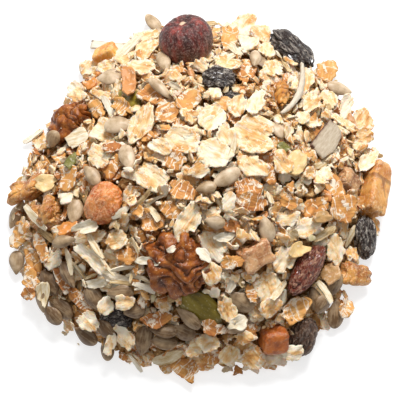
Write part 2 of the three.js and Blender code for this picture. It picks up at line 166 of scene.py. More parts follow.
SHOWN_STRIPS = [
    (127, 52, 11, 2.9, 41, 0.2), (108, 108, 7.2, 1.9, -52, 0.1), (324, 236, 7, 2, 27, 0.6),
    (323, 296, 6.6, 1.6, -50, 0.3), (278, 294, 5.8, 1.7, 40, 0.4), (96, 250, 7.4, 1.4, -55, 0.4),
    (70, 264, 6.4, 1.4, -75, 0.3), (350, 237, 6.2, 1.5, 65, 0.5), (121, 216, 5.2, 1.8, 40, 0.2),
    (34, 139, 6.5, 1.3, 30, 0.1), (232, 153, 6.6, 1.4, 70, 0.4), (38, 224, 8.2, 1.8, -45, 0.3),
    (168, 359, 8.4, 3.2, 32, 0.5), (225, 57, 6.4, 1.8, 20, 0.3), (222, 64, 7.6, 1.6, 32, 0.4),
    (47, 237, 5, 1.6, -30, 0.9), (153, 214, 5.6, 1.3, -52, 0.4), (139, 279, 6.5, 1.1, -12, 0.3),
    (122, 285, 6, 1, -8, 0.6), (146, 288, 6, 1.1, 14, 0.2), (108, 270, 6, 1, -48, 0.4),
]
# the tone is a hue here: 0 is green, 0.12 the millet ball's grey, 0.3 yellow, 0.6 brown and 1 orange
SHOWN_FRUIT_FLAKES = [
    (131, 88, 7.4, 4.8, -75, 0.75), (92, 87, 4.4, 3.2, 0, 0.9), (47, 186, 6.4, 4.6, 20, 0.28),
    (289, 122, 7.4, 4.2, -30, 0.25), (294, 166, 7, 6.2, 70, 0.3), (283, 150, 3.4, 2.6, -30, 0.0),
    (71, 166, 4, 2.8, 40, 0.0), (296, 253, 5.4, 3.8, 30, 0.34), (330, 277, 6, 4.4, 40, 0.55),
    (321, 222, 5, 3.6, -10, 0.5), (69, 233, 7, 3, 10, 0.9), (310, 242, 2, 1.9, 0, 0.12),
]
# the last five stand for patches of thin flakes that can't be told apart
SHOWN_HUSKS = [
    (76, 142, 8, 6, 30, 0.3), (89, 232, 8.4, 3.4, 20, 0.2), (45, 300, 8.4, 3.4, 85, 0.4),
    (238, 327, 5.4, 3.8, 20, 0.2), (118, 281, 7.4, 3, -15, 0.1), (98, 285, 6.6, 2.8, 20, 0.15),
    (150, 268, 6, 3, 10, 0.1), (204, 262, 5.4, 3, -40, 0.1), (225, 240, 5.6, 3, 15, 0.1),
]

SEED = 11
random = np.random.default_rng(SEED)


# ---- The mound's surface ----


def outline_radius(angle):
    waves = sum(depth * np.cos(count * angle + math.radians(turn)) for count, depth, turn in OUTLINE_WAVES)
    return HEAP_RADIUS * (1 + waves)


def mound_height(x, y):
    share = np.hypot(x, y) / outline_radius(np.arctan2(y, x))
    return HEAP_HEIGHT * (1 - np.minimum(share, 1) ** FLANK_POWER)


def unit(vector):
    return vector / np.linalg.norm(vector)


def mound_normal(x, y):
    step = NORMAL_STEP
    slope_x = (mound_height(x + step, y) - mound_height(x - step, y)) / (2 * step)
    slope_y = (mound_height(x, y + step) - mound_height(x, y - step)) / (2 * step)
    return unit(np.array([-slope_x, -slope_y, 1.0]))


def turned_about_z(degrees):
    c, s = math.cos(math.radians(degrees)), math.sin(math.radians(degrees))
    return np.array([[c, -s, 0], [s, c, 0], [0, 0, 1]])


def turned_about_y(degrees):
    c, s = math.cos(math.radians(degrees)), math.sin(math.radians(degrees))
    return np.array([[c, 0, s], [0, 1, 0], [-s, 0, c]])


def pose_on_mound(topping):
    """A topping's axes, as columns, and its middle: the same rule as the part's."""
    x, y = topping.at
    up = mound_normal(x, y)
    along = unit(np.array([1.0, 0, 0]) - up * up[0])
    axes = np.column_stack([along, np.cross(up, along), up])
    axes = axes @ turned_about_z(topping.turn) @ turned_about_y(-topping.lean)
    return axes, np.array([x, y, mound_height(x, y)]) + up * topping.rise


def axis_shift():
    """From the mound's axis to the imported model's origin, by where the toppings lie in each."""
    gaps = [
        np.array((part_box(name)[0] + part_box(name)[1]) / 2) / MM - pose_on_mound(topping)[1]
        for name, topping in TOPPINGS.items()
    ]
    return np.median(gaps, axis=0) * [1, 1, 0]


SHIFT = axis_shift()
TO_CAMERA = np.array([0, -math.cos(CAMERA_ELEVATION), math.sin(CAMERA_ELEVATION)])
IMAGE_UP = np.array([0, TO_CAMERA[2], -TO_CAMERA[1]])
ROUNDS_TO_SURFACE = 40


def on_mound(pixel_x, pixel_y):
    """The spot on the mound that a pixel of the photograph shows."""
    right = (pixel_x - MOUND_PIXEL[0]) / (PIXELS_PER_MM * CAMERA_DISTANCE)
    up = (MOUND_PIXEL[1] - pixel_y) / (PIXELS_PER_MM * CAMERA_DISTANCE)
    ray = np.array([right, 0, 0]) + IMAGE_UP * up - TO_CAMERA
    height = HEAP_HEIGHT / 2
    for _ in range(ROUNDS_TO_SURFACE):
        point = TO_CAMERA * CAMERA_DISTANCE + ray * (height - TO_CAMERA[2] * CAMERA_DISTANCE) / ray[2]
        height = (height + float(mound_height(point[0], point[1]))) / 2
    return point[0], point[1]


MOST_FORESHORTENED = 0.62  # a piece seen at a flatter angle than this isn't drawn out any further


def true_oval(shown_length, shown_width, shown_turn, axes):
    """Length, width and turn, about its thickness, of a flat oval that the camera sees as the one shown."""
    seen = np.array([axes[0, :2], IMAGE_UP @ axes[:, :2]])
    sides, shares, directions = np.linalg.svd(seen)
    seen = sides @ np.diag(np.maximum(shares, MOST_FORESHORTENED)) @ directions
    cos, sin = math.cos(shown_turn), math.sin(shown_turn)
    shown = np.array([[cos, -sin], [sin, cos]]) @ np.diag([shown_length, shown_width])
    ways, sizes, _ = np.linalg.svd(np.linalg.inv(seen) @ shown)
    return sizes[0], sizes[1], math.atan2(ways[1, 0], ways[0, 0])


# ---- Noise ----

NOISE_GRADIENTS = np.array(
    [(x, y, z) for x in (-1, 0, 1) for y in (-1, 0, 1) for z in (-1, 0, 1) if abs(x) + abs(y) + abs(z) == 2]
)
HASH_PRIMES = (73856093, 19349663, 83492791, 50331653)
NOISE_GAIN = 1.3


def noise(points, size, seed=0):
    """Smooth noise, mostly from -1 to 1, with bumps about size apart; size may differ by axis."""
    places = np.asarray(points) / size
    cells = np.floor(places).astype(np.int64)
    inside = places - cells
    ease = inside**3 * (inside * (inside * 6 - 15) + 10)
    total = np.zeros(len(places))
    for corner in np.ndindex(2, 2, 2):
        cell = cells + corner
        mixed = cell[:, 0] * HASH_PRIMES[0] ^ cell[:, 1] * HASH_PRIMES[1] ^ cell[:, 2] * HASH_PRIMES[2]
        mixed = (mixed ^ seed * HASH_PRIMES[3]) & 0x7FFFFFFF
        mixed = (mixed ^ mixed >> 15) * HASH_PRIMES[0] & 0x7FFFFFFF
        gradient = NOISE_GRADIENTS[(mixed >> 9) % len(NOISE_GRADIENTS)]
        weight = np.prod(np.where(corner, ease, 1 - ease), axis=1)
        total += weight * np.sum(gradient * (inside - corner), axis=1)
    return NOISE_GAIN * total


def crease_lines(points, size, seed, sharpness):
    """1 along winding lines and 0 away from them, such as the bottom of a wrinkle."""
    return np.clip(1 - np.abs(noise(points, size, seed)), 0, 1) ** sharpness


# ---- Laying pieces on the heap ----

GROUND_STEP = 0.4
GROUND_HALF = 64.0
CORE_DEPTH = 5.0  # the scene's own core lies this far under the mound
REST_SHARE = 0.92  # the share of a piece's underside that has to clear what it rests on
ROOF_GAP = 1.0  # room for the curl of a flake under a piece that lies on it
STEEPEST = math.tan(math.radians(52))
LEAST_UPRIGHT = 0.3  # how upright a steeply leaning piece is taken to be when it raises the ground
# spots spread evenly over a unit disc, where a piece is tested against the ground
SPOTS = 36
SPIRAL = math.pi * (3 - math.sqrt(5))
REACHES = [math.sqrt((spot + 0.6) / SPOTS) for spot in range(SPOTS)]
DISC = np.array([(far * math.cos(i * SPIRAL), far * math.sin(i * SPIRAL)) for i, far in enumerate(REACHES)])
DISC_OFF = np.hypot(DISC[:, 0], DISC[:, 1])


class Ground:
    """The top surface of the heap on a square grid, raised as pieces are laid on it."""

    def __init__(self):
        axis = np.arange(-GROUND_HALF, GROUND_HALF + GROUND_STEP / 2, GROUND_STEP)
        self.x, self.y = np.meshgrid(axis, axis, indexing="ij")
        self.last = len(axis) - 1
        self.height = np.maximum(mound_height(self.x, self.y) - CORE_DEPTH, 0)
        self.taken = np.zeros_like(self.height, bool)
        self.roof = np.full_like(self.height, np.inf)

    def cell(self, value):
        return np.clip(np.rint((value + GROUND_HALF) / GROUND_STEP).astype(int), 0, self.last)

    def at(self, x, y):
        return self.height[self.cell(x), self.cell(y)]

    def roof_at(self, x, y):
        return self.roof[self.cell(x), self.cell(y)]

    def is_taken(self, x, y):
        return self.taken[self.cell(x), self.cell(y)]

    def oval(self, middle, axes, size):
        """The patch of the grid round an oval piece, where in it the piece is, and its middle height."""
        reach = max(size[0], size[1]) / 2
        low_x, high_x = self.cell(middle[0] - reach), self.cell(middle[0] + reach) + 1
        low_y, high_y = self.cell(middle[1] - reach), self.cell(middle[1] + reach) + 1
        patch = (slice(low_x, high_x), slice(low_y, high_y))
        offset = np.stack([self.x[patch] - middle[0], self.y[patch] - middle[1]])
        along, across = np.tensordot(np.linalg.inv(axes[:2, :2]), offset, 1)
        off = (2 * along / size[0]) ** 2 + (2 * across / size[1]) ** 2
        return patch, off, middle[2] + along * axes[2, 0] + across * axes[2, 1]

    def raise_under(self, middle, axes, size, domed, taken=False):
        """Raises the ground to the top of an oval piece."""
        patch, off, level = self.oval(middle, axes, size)
        dome = np.sqrt(np.clip(1 - off, 0, 1)) if domed else 1
        top = level + dome * size[2] / 2 / max(axes[2, 2], LEAST_UPRIGHT)
        self.height[patch] = np.where(off <= 1, np.maximum(self.height[patch], top), self.height[patch])
        if taken:
            self.taken[patch] |= off <= 1

    def keep_under(self, middle, axes, size):
        """Keeps what is laid later under an oval piece that lies on its neighbours."""
        patch, off, level = self.oval(middle, axes, size)
        underside = level - size[2] / 2 - ROOF_GAP
        self.roof[patch] = np.where(off <= 1, np.minimum(self.roof[patch], underside), self.roof[patch])
        self.taken[patch] |= off <= 1


def settled_pose(ground, x, y, size, turn, tilt, tilt_turn, domed, facing):
    """The axes and middle of an oval piece let down at (x, y) until it rests."""
    cos, sin = math.cos(turn), math.sin(turn)
    half_length, half_width = size[0] / 2, size[1] / 2
    spot_x = x + DISC[:, 0] * half_length * cos - DISC[:, 1] * half_width * sin
    spot_y = y + DISC[:, 0] * half_length * sin + DISC[:, 1] * half_width * cos
    spread = np.column_stack([spot_x - x, spot_y - y, np.ones(len(DISC))])
    slope = np.linalg.lstsq(spread, ground.at(spot_x, spot_y), rcond=None)[0][:2]
    steepness = np.hypot(*slope)
    slope = slope * min(1, STEEPEST / max(steepness, 1e-6))
    normal = unit(np.array([-slope[0], -slope[1], 1.0]))
    lean = math.tan(tilt)
    normal = unit(normal + [lean * math.cos(tilt_turn), lean * math.sin(tilt_turn), 0])
    normal = unit(normal * (1 - facing) + np.array([0, 0, facing]))
    along = unit(np.array([cos, sin, 0]) - normal * (cos * normal[0] + sin * normal[1]))
    axes = np.column_stack([along, np.cross(normal, along), normal])
    offsets = DISC[:, :1] * half_length * axes[:, 0] + DISC[:, 1:] * half_width * axes[:, 1]
    belly = size[2] / 2 / normal[2] * (np.sqrt(np.clip(1 - DISC_OFF**2, 0, 1)) if domed else 1)
    spots = x + offsets[:, 0], y + offsets[:, 1]
    rest = np.quantile(ground.at(*spots) - offsets[:, 2] + belly, REST_SHARE)
    highest = np.min(ground.roof_at(*spots) - offsets[:, 2]) - size[2] / 2
    lowest = size[2] / 2 - np.min(offsets[:, 2])
    return axes, np.array([x, y, max(min(rest, highest), lowest)])


# length in mm, width as a share of length, thickness in mm, most tilt in degrees
Kind = namedtuple("Kind", "name length width thickness tilt domed tones")
OAT = Kind("oat_flakes", (5.5, 9), (0.64, 0.9), (0.45, 0.75), 26, False, (0.0, 0.8))
BROKEN_OAT = Kind("broken_oats", (2.2, 6), (0.45, 0.95), (0.4, 0.75), 36, False, (0.0, 0.8))
BRAN = Kind("bran_flakes", (4.8, 8.5), (0.5, 0.8), (0.5, 0.85), 34, False, (0.1, 0.9))
BROKEN_BRAN = Kind("broken_bran", (2.2, 5.6), (0.4, 0.9), (0.4, 0.8), 40, False, (0.0, 1.0))
HUSK = Kind("husks", (2.4, 6.5), (0.35, 0.75), (0.2, 0.32), 46, False, (0.0, 0.8))
KERNEL = Kind("sunflower_kernels", (6.8, 9), (0.52, 0.62), (1.8, 2.5), 14, True, (0.2, 0.9))
STRIP = Kind("coconut_strips", (3.5, 9), (0.14, 0.28), (0.35, 0.6), 26, False, (0.0, 0.8))
FRUIT_FLAKE = Kind("fruit_flakes", (2.6, 5.5), (0.55, 0.85), (0.8, 1.5), 24, False, (0.1, 1.0))
CRUMB = Kind("crumbs", (0.6, 2.2), (0.5, 0.95), (0.4, 1.0), 30, True, (0.0, 0.8))
# inner flakes take the core's browner colours, painted shade deep in the heap
INNER = Kind("inner_flakes", (3.5, 7), (0.5, 0.9), (0.5, 0.8), 36, False, (0.3, 1.0))
KINDS = [OAT, BROKEN_OAT, BRAN, BROKEN_BRAN, HUSK, KERNEL, STRIP, FRUIT_FLAKE, CRUMB, INNER]

# the share of each kind in a layer, over the heap and at its front left, which has more seeds and bran
INNER_MIX = [(INNER, 1, 1)]
UPPER_MIX = [
    (OAT, 0.26, 0.14),
    (BROKEN_OAT, 0.41, 0.32),
    (BRAN, 0.11, 0.13),
    (BROKEN_BRAN, 0.09, 0.17),
    (HUSK, 0.065, 0.14),
    (STRIP, 0.03, 0.05),
    (FRUIT_FLAKE, 0.03, 0.03),
    (KERNEL, 0.003, 0.02),
]
TOP_MIX = [
    (OAT, 0.08, 0.03),
    (BROKEN_OAT, 0.6, 0.38),
    (BROKEN_BRAN, 0.15, 0.3),
    (HUSK, 0.11, 0.22),
    (STRIP, 0.03, 0.05),
    (FRUIT_FLAKE, 0.03, 0.02),
]
FINE_MIX = [(BROKEN_OAT, 0.78, 0.6), (HUSK, 0.1, 0.16), (BROKEN_BRAN, 0.12, 0.24)]
CRUMB_MIX = [(CRUMB, 1, 1)]
STRIP_MIX = [(STRIP, 1, 1)]
FRONT_LEFT_REACH = 60
# where the photograph shows many small bits, and many slivers: x and y ranges
CRUMBLY_PIXELS = (135, 285), (200, 300)
SLIVER_PIXELS = (72, 152), (240, 302)
# the last layers: mix, how many, scale, the most that may lie on what is taken, and where, if not anywhere
TOP_LAYERS = [
    (TOP_MIX, 1600, 1.0, 0.35, None),
    (FINE_MIX, 900, 0.65, 0.3, None),
    (FINE_MIX, 700, 0.7, 0.4, CRUMBLY_PIXELS),
    (STRIP_MIX, 70, 0.8, 0.5, SLIVER_PIXELS),
    (CRUMB_MIX, 300, 0.8, 0, None),
    (CRUMB_MIX, 300, 0.8, 0, CRUMBLY_PIXELS),
]
SCATTER_CEILING = 3.5  # the most that a scattered piece's middle is above the mound
GROWTH_TRIES = 24  # of so many random spots, the lowest gets the next piece
RIM_MARGIN = 0.5
NEIGHBOURS = [(0, 0), (2, 0), (-2, 0), (0, 2), (0, -2)]

Laid = namedtuple("Laid", "middle axes size tone")
laid = {kind.name: [] for kind in KINDS}


def drawn_size(kind):
    length = random.uniform(*kind.length)
    return np.array([length, length * random.uniform(*kind.width), random.uniform(*kind.thickness)])


def lay(
    ground, kind, spot, size, turn, tone, tilt=None, facing=0.0, ceiling=math.inf, most_taken=1.0, take=False
):
    """Lays one piece, unless it would stand above the ceiling or cover too much of what is taken."""
    x, y = spot
    tilt = math.radians(kind.tilt) * random.uniform(-1, 1) if tilt is None else tilt
    tilt_turn = random.uniform(0, math.pi)
    axes, middle = settled_pose(ground, x, y, size, turn, tilt, tilt_turn, kind.domed, facing)
    if middle[2] > mound_height(x, y) + ceiling:
        return
    offsets = DISC[:, :1] * size[0] / 2 * axes[:, 0] + DISC[:, 1:] * size[1] / 2 * axes[:, 1]
    if np.mean(ground.is_taken(x + offsets[:, 0], y + offsets[:, 1])) > most_taken:
        return
    ground.raise_under(middle, axes, size, kind.domed, take)
    laid[kind.name].append(Laid(middle, axes, size, tone))


def kind_for(mix, spot):
    front_left = np.clip((-spot[0] - spot[1]) / FRONT_LEFT_REACH, 0, 1)
    shares = np.array([share + (front_left_share - share) * front_left for _, share, front_left_share in mix])
    return mix[random.choice(len(mix), p=shares / shares.sum())][0]


def grow(ground, mix, depth, most, ceiling, most_taken=1.0):
    """Lays pieces where the heap is lowest, until it is grown to depth under the mound's surface."""
    for _ in range(most):
        angle = random.uniform(0, 2 * math.pi, GROWTH_TRIES)
        reach = np.sqrt(random.uniform(0, 1, GROWTH_TRIES)) * (outline_radius(angle) - RIM_MARGIN)
        x, y = reach * np.cos(angle), reach * np.sin(angle)
        around = [ground.at(x + dx, y + dy) for dx, dy in NEIGHBOURS]
        missing = mound_height(x, y) - depth - np.mean(around, axis=0)
        missing[ground.is_taken(x, y)] = -HEAP_HEIGHT
        best = np.argmax(missing)
        if missing[best] <= 0:
            continue
        spot = x[best], y[best]
        kind = kind_for(mix, spot)
        turn = random.uniform(0, 2 * math.pi)
        size = drawn_size(kind)
        tone = random.uniform(*kind.tones)
        lay(ground, kind, spot, size, turn, tone, ceiling=ceiling, most_taken=most_taken)


def scatter(ground, mix, count, scale, most_taken, pixel_box=None):
    """Small pieces lie anywhere, or in a box of the photograph where they show as a patch."""
    for _ in range(count):
        if pixel_box:
            spot = on_mound(random.uniform(*pixel_box[0]), random.uniform(*pixel_box[1]))
        else:
            angle = random.uniform(0, 2 * math.pi)
            reach = math.sqrt(random.uniform(0, 1)) * outline_radius(angle)
            spot = reach * math.cos(angle), reach * math.sin(angle)
        kind = kind_for(mix, spot)
        size = drawn_size(kind) * [scale, scale, 1]
        turn = random.uniform(0, 2 * math.pi)
        tone = random.uniform(*kind.tones)
        lay(ground, kind, spot, size, turn, tone, ceiling=SCATTER_CEILING, most_taken=most_taken)


# the rows give what shows of a flake or strip, less what its broken edges and its neighbours take
SHOWN_GROWTH = 1.08
SHOWN_TILT = 8
SHRED_PATCHES = 15
SHRED_PATCH = (2.4, 2)  # length and width of the ovals that keep room under the long shred
LOW_KERNEL_LINE = 282  # kernels below this row of the photograph lie under the flakes there
LYING_ON_TOP = {"coconut_chip", "coconut_chip_back", "walnut_crumb"}
PARTLY_COVERED = {"pumpkin_seed_back", "raisin_sunk", "raisin_under"}
SHRED_BEND = 0.12  # how far the long coconut shred's ends bend aside, as a share of its length


def shred_line(length, along):
    """The shred's middle line, from along -1 to 1."""
    return np.column_stack([along * length / 2, -SHRED_BEND * length * along**2, 0 * along])


def make_room(ground):
    """The nuts, raisins and fruit take their places; light pieces lie on the flakes round them."""
    for name, topping in TOPPINGS.items():
        axes, middle = pose_on_mound(topping)
        if name == "coconut_shred":
            for point in shred_line(topping.size[0], np.linspace(-1, 1, SHRED_PATCHES)):
                ground.keep_under(middle + axes @ point, axes, (*SHRED_PATCH, topping.size[2]))
        elif name in LYING_ON_TOP:
            ground.keep_under(middle, axes, topping.size)
        else:
            ground.raise_under(middle, axes, topping.size, True, name not in PARTLY_COVERED)


def lay_shown(ground, kind, rows, facing):
    """Lays the pieces of some rows; facing is how far they turn from the slope towards straight up."""
    for pixel_x, pixel_y, length, width, turn, tone in rows:
        x, y = on_mound(pixel_x, pixel_y)
        size = np.array([length, width, random.uniform(*kind.thickness)])
        size[:2] *= 1 if kind.domed else SHOWN_GROWTH
        axes = settled_pose(ground, x, y, size, math.radians(turn), 0, 0, kind.domed, facing)[0]
        size[0], size[1], spin = true_oval(size[0], size[1], math.radians(turn), axes)
        along = axes @ [math.cos(spin), math.sin(spin), 0]
        tilt = math.radians(random.uniform(-SHOWN_TILT, SHOWN_TILT))
        lay(ground, kind, (x, y), size, math.atan2(along[1], along[0]), tone, tilt, facing, take=True)


def fill_heap():
    """The whole heap, from the core outwards."""
    ground = Ground()
    grow(ground, INNER_MIX, depth=2.8, most=1100, ceiling=0)
    make_room(ground)
    grow(ground, UPPER_MIX, depth=0.8, most=2400, ceiling=1.4, most_taken=0.1)
    scatter(ground, CRUMB_MIX, count=250, scale=0.9, most_taken=0)
    low_kernels = [row for row in SHOWN_KERNELS if row[1] > LOW_KERNEL_LINE]
    high_kernels = [row for row in SHOWN_KERNELS if row[1] <= LOW_KERNEL_LINE]
    lay_shown(ground, KERNEL, low_kernels, facing=0.3)
    lay_shown(ground, BRAN, SHOWN_BRAN, facing=0.4)
    lay_shown(ground, OAT, SHOWN_OATS, facing=0.45)
    lay_shown(ground, HUSK, SHOWN_HUSKS, facing=0.4)
    lay_shown(ground, FRUIT_FLAKE, SHOWN_FRUIT_FLAKES, facing=0.4)
    lay_shown(ground, KERNEL, high_kernels, facing=0.45)
    lay_shown(ground, STRIP, SHOWN_STRIPS, facing=0.3)
    for mix, count, scale, most_taken, pixel_box in TOP_LAYERS:
        scatter(ground, mix, count, scale, most_taken, pixel_box)


# ---- Meshes of many small pieces ----


def disc_faces(sides, rings):
    """The triangles of a thin closed disc: a centre and rings on top, the same again underneath."""
    faces = []
    half = 1 + sides * rings
    for start, flip in ((0, False), (half, True)):
        for side in range(sides):
            after = (side + 1) % sides
            side_faces = [(start, start + 1 + side, start + 1 + after)]
            for ring in range(rings - 1):
                inner, outer = start + 1 + ring * sides, start + 1 + (ring + 1) * sides
                side_faces.append((inner + side, outer + side, outer + after))
                side_faces.append((inner + side, outer + after, inner + after))
            faces += [face[::-1] for face in side_faces] if flip else side_faces
    edge = 1 + (rings - 1) * sides
    for side in range(sides):
        after = (side + 1) % sides
        top, top_next = edge + side, edge + after
        faces.append((top, half + top, half + top_next))
        faces.append((top, half + top_next, top_next))
    return np.array(faces)


# rings as shares of the radius; ragged, jag, teeth, cup and curl as shares of it too; ripple in mm
Flake = namedtuple("Flake", "sides rings ragged jag teeth cup ripple breaks curl")
FLAKE_SHAPES = {
    OAT.name: Flake(40, (0.3, 0.62, 0.86, 1.0), 0.08, 0.035, 0.2, 0.21, 0.21, 4, 0.7),
    BROKEN_OAT.name: Flake(16, (0.6, 1.0), 0.16, 0.11, 0.3, 0.26, 0.17, 4, 0.7),
    BRAN.name: Flake(32, (0.3, 0.62, 0.86, 1.0), 0.11, 0.045, 0.2, 0.26, 0.19, 4, 0.8),
    BROKEN_BRAN.name: Flake(14, (0.6, 1.0), 0.16, 0.12, 0.3, 0.3, 0.17, 4, 0.9),
    HUSK.name: Flake(20, (0.5, 0.85, 1.0), 0.18, 0.07, 0.15, 0.3, 0.2, 3, 0.7),
    FRUIT_FLAKE.name: Flake(18, (0.5, 0.85, 1.0), 0.15, 0.06, 0.15, 0.3, 0.25, 3, 0.5),
    INNER.name: Flake(13, (0.6, 1.0), 0.12, 0.05, 0.1, 0.2, 0.1, 2, 0.5),
}


def flake_points(pieces, shape):
    """Rolled flakes: a broken, torn outline, a cupped and rippled sheet and a thin edge."""
    count = len(pieces)
    sizes = np.array([piece.size for piece in pieces])
    half_length, half_width = sizes[:, :1] / 2, sizes[:, 1:2] / 2

    def draw(low, high):
        return random.uniform(low, high, (count, 1))

    angle = np.linspace(0, 2 * math.pi, shape.sides, endpoint=False) + draw(0, 2 * math.pi)
    reach = np.ones((count, shape.sides))
    for waves in range(2, 7):
        reach += shape.ragged * draw(0.2, 1) / math.sqrt(waves) * np.cos(waves * angle + draw(0, 6.3))
    for _ in range(2):
        from_tear = (angle - draw(0, 6.3) + math.pi) % (2 * math.pi) - math.pi
        reach -= draw(-0.2, 0.42).clip(0) * np.exp(-((from_tear / draw(0.1, 0.3)) ** 2))
    for _ in range(shape.breaks):
        toward = np.cos(angle - draw(0, 6.3)).clip(0.001)
        teeth = 1 + shape.teeth * draw(0, 1) * random.uniform(-1, 0.6, reach.shape)
        reach = np.minimum(reach, draw(0.55, 1.35) / toward * teeth)
    reach *= 1 + random.normal(0, shape.jag, reach.shape)

    share = np.concatenate([[0], np.repeat(shape.rings, shape.sides)])
    around = np.concatenate([np.zeros((count, 1)), np.tile(angle, (1, len(shape.rings)))], axis=1)
    reach = np.concatenate([np.ones((count, 1)), np.tile(reach, (1, len(shape.rings)))], axis=1)
    off = share * (1 + (reach - 1) * share)
    off_x, off_y = off * np.cos(around), off * np.sin(around)
    x, y = half_length * off_x, half_width * off_y

    sheet = half_length * shape.cup * (draw(-0.4, 1) * off_x**2 + draw(-0.3, 1) * off_y**2 - 0.2)
    for _ in range(3):
        turn = draw(0, 3.2)
        place = x * np.cos(turn) + y * np.sin(turn)
        sheet += shape.ripple * draw(0.3, 1) * np.sin(6.3 * place / draw(1.8, 4.5) + draw(0, 6.3))
    turn = draw(0, 6.3)
    curled = (off_x * np.cos(turn) + off_y * np.sin(turn) - draw(0.2, 0.5)).clip(0)
    sheet += shape.curl * draw(-0.5, 1) * half_width * curled**2
    uneven = 1 + 0.3 * np.sin(x * 2.3 + draw(0, 6.3)) * np.sin(y * 2.1 + draw(0, 6.3))
    half = sizes[:, 2:] / 2 * (1 - 0.45 * share**5) * uneven
    top = np.stack([x, y, sheet + half], axis=2)
    bottom = np.stack([x, y, sheet - half], axis=2)
    rim = np.tile(np.concatenate([share, share]), (count, 1))
    return np.concatenate([top, bottom], axis=1), rim


def lump_faces(sides, rings):
    """The triangles of a closed lump whose points are one pole, then rings, then the other pole."""
    last_pole = 1 + sides * rings
    last_ring = last_pole - sides
    faces = []
    for side in range(sides):
        after = (side + 1) % sides
        faces.append((0, 1 + after, 1 + side))
        for low in range(1, last_ring, sides):
            high = low + sides
            faces.append((low + side, low + after, high + side))
            faces.append((low + after, high + after, high + side))
        faces.append((last_ring + side, last_ring + after, last_pole))
    return np.array(faces)


def lump_grid(sides, bands):
    """Points of a unit ball with its poles on X, and its triangles."""
    bend = np.linspace(0, math.pi, bands + 1)[1:-1]
    around = np.linspace(0, 2 * math.pi, sides, endpoint=False)
    ring_x, ring_off = np.repeat(-np.cos(bend), sides), np.repeat(np.sin(bend), sides)
    turn = np.tile(around, len(bend))
    body = np.column_stack([ring_x, ring_off * np.cos(turn), ring_off * np.sin(turn)])
    return np.vstack([[-1, 0, 0], body, [1, 0, 0]]), lump_faces(sides, len(bend))


KERNEL_GRID = lump_grid(24, 18)
CRUMB_GRID = lump_grid(6, 4)


def kernel_points(pieces):
    """Hulled sunflower seeds: flat teardrops, pointed at one end."""
    ball = KERNEL_GRID[0]
    sizes = np.array([piece.size for piece in pieces])
    count = len(pieces)
    along = ball[:, 0]
    pointed = 1.06 - random.uniform(0.4, 0.66, (count, 1)) * np.clip((along + 0.25) / 1.25, 0, 1) ** 1.6
    edge = 1 - 0.34 * np.abs(ball[:, 1]) ** 1.5
    x = sizes[:, :1] / 2 * along
    y = sizes[:, 1:2] / 2 * ball[:, 1] * pointed * (1 + random.uniform(-0.1, 0.1, (count, 1)) * along)
    z = sizes[:, 2:] / 2 * ball[:, 2] * pointed * edge
    ridge = np.exp(-((ball[:, 1] / 0.16) ** 2)) * (1 - along**2) * np.sign(ball[:, 2])
    z += random.uniform(-0.1, 0.16, (count, 1)) * ridge
    z += random.uniform(-0.25, 0.25, (count, 1)) * (along**2 - 0.4)
    y += random.uniform(-0.3, 0.3, (count, 1)) * along**2
    rim = np.tile(np.abs(ball[:, 1]), (count, 1))
    return np.stack([x, y, z], axis=2), rim


def crumb_points(pieces):
    """Crumbs: small broken lumps."""
    ball = CRUMB_GRID[0]
    sizes = np.array([piece.size for piece in pieces])
    rough = random.uniform(0.6, 1.15, (len(pieces), len(ball)))
    points = ball * rough[:, :, None] * sizes[:, None, :] / 2
    return points, np.tile(np.abs(ball[:, 1]), (len(pieces), 1))


STRIP_STEPS = 9


def strip_faces(steps):
    """The triangles of a closed strip that has four corners at each step."""
    faces = []
    for step in range(steps - 1):
        for side in range(4):
            a, b = 4 * step + side, 4 * step + (side + 1) % 4
            faces += [(a, b, b + 4), (a, b + 4, a + 4)]
    end = 4 * (steps - 1)
    faces += [(0, 2, 1), (0, 3, 2), (end, end + 1, end + 2), (end, end + 2, end + 3)]
    return np.array(faces)


def strip_points(pieces):
    """Shreds and slivers: narrow strips, bent and tapered."""
    sizes = np.array([piece.size for piece in pieces])
    count = len(pieces)
    along = np.linspace(-1, 1, STRIP_STEPS)
    bend = random.uniform(-0.35, 0.35, (count, 1))
    rise = random.uniform(-0.05, 0.1, (count, 1))
    x = sizes[:, :1] / 2 * along * np.ones((count, 1))
    y = sizes[:, :1] / 2 * bend * 0.5 * (along**2 - 0.4)
    z = sizes[:, :1] / 2 * rise * along**2
    taper = 1 - random.uniform(0.2, 0.8, (count, 1)) * np.abs(along) ** 3
    half_width = sizes[:, 1:2] / 2 * taper * (1 + random.uniform(-0.12, 0.12, (count, STRIP_STEPS)))
    twist = random.uniform(-0.6, 0.6, (count, 1)) * along
    corners = []
    for side_y, side_z in ((-1, -1), (1, -1), (1, 1), (-1, 1)):
        offset_y, offset_z = side_y * half_width, side_z * sizes[:, 2:] / 2 * taper
        turned_y = offset_y * np.cos(twist) - offset_z * np.sin(twist)
        turned_z = offset_y * np.sin(twist) + offset_z * np.cos(twist)
        corners.append(np.stack([x, y + turned_y, z + turned_z], axis=2))
    points = np.stack(corners, axis=2).reshape(count, 4 * STRIP_STEPS, 3)
    rim = np.tile(np.repeat(np.abs(along), 4), (count, 1))
    return points, rim


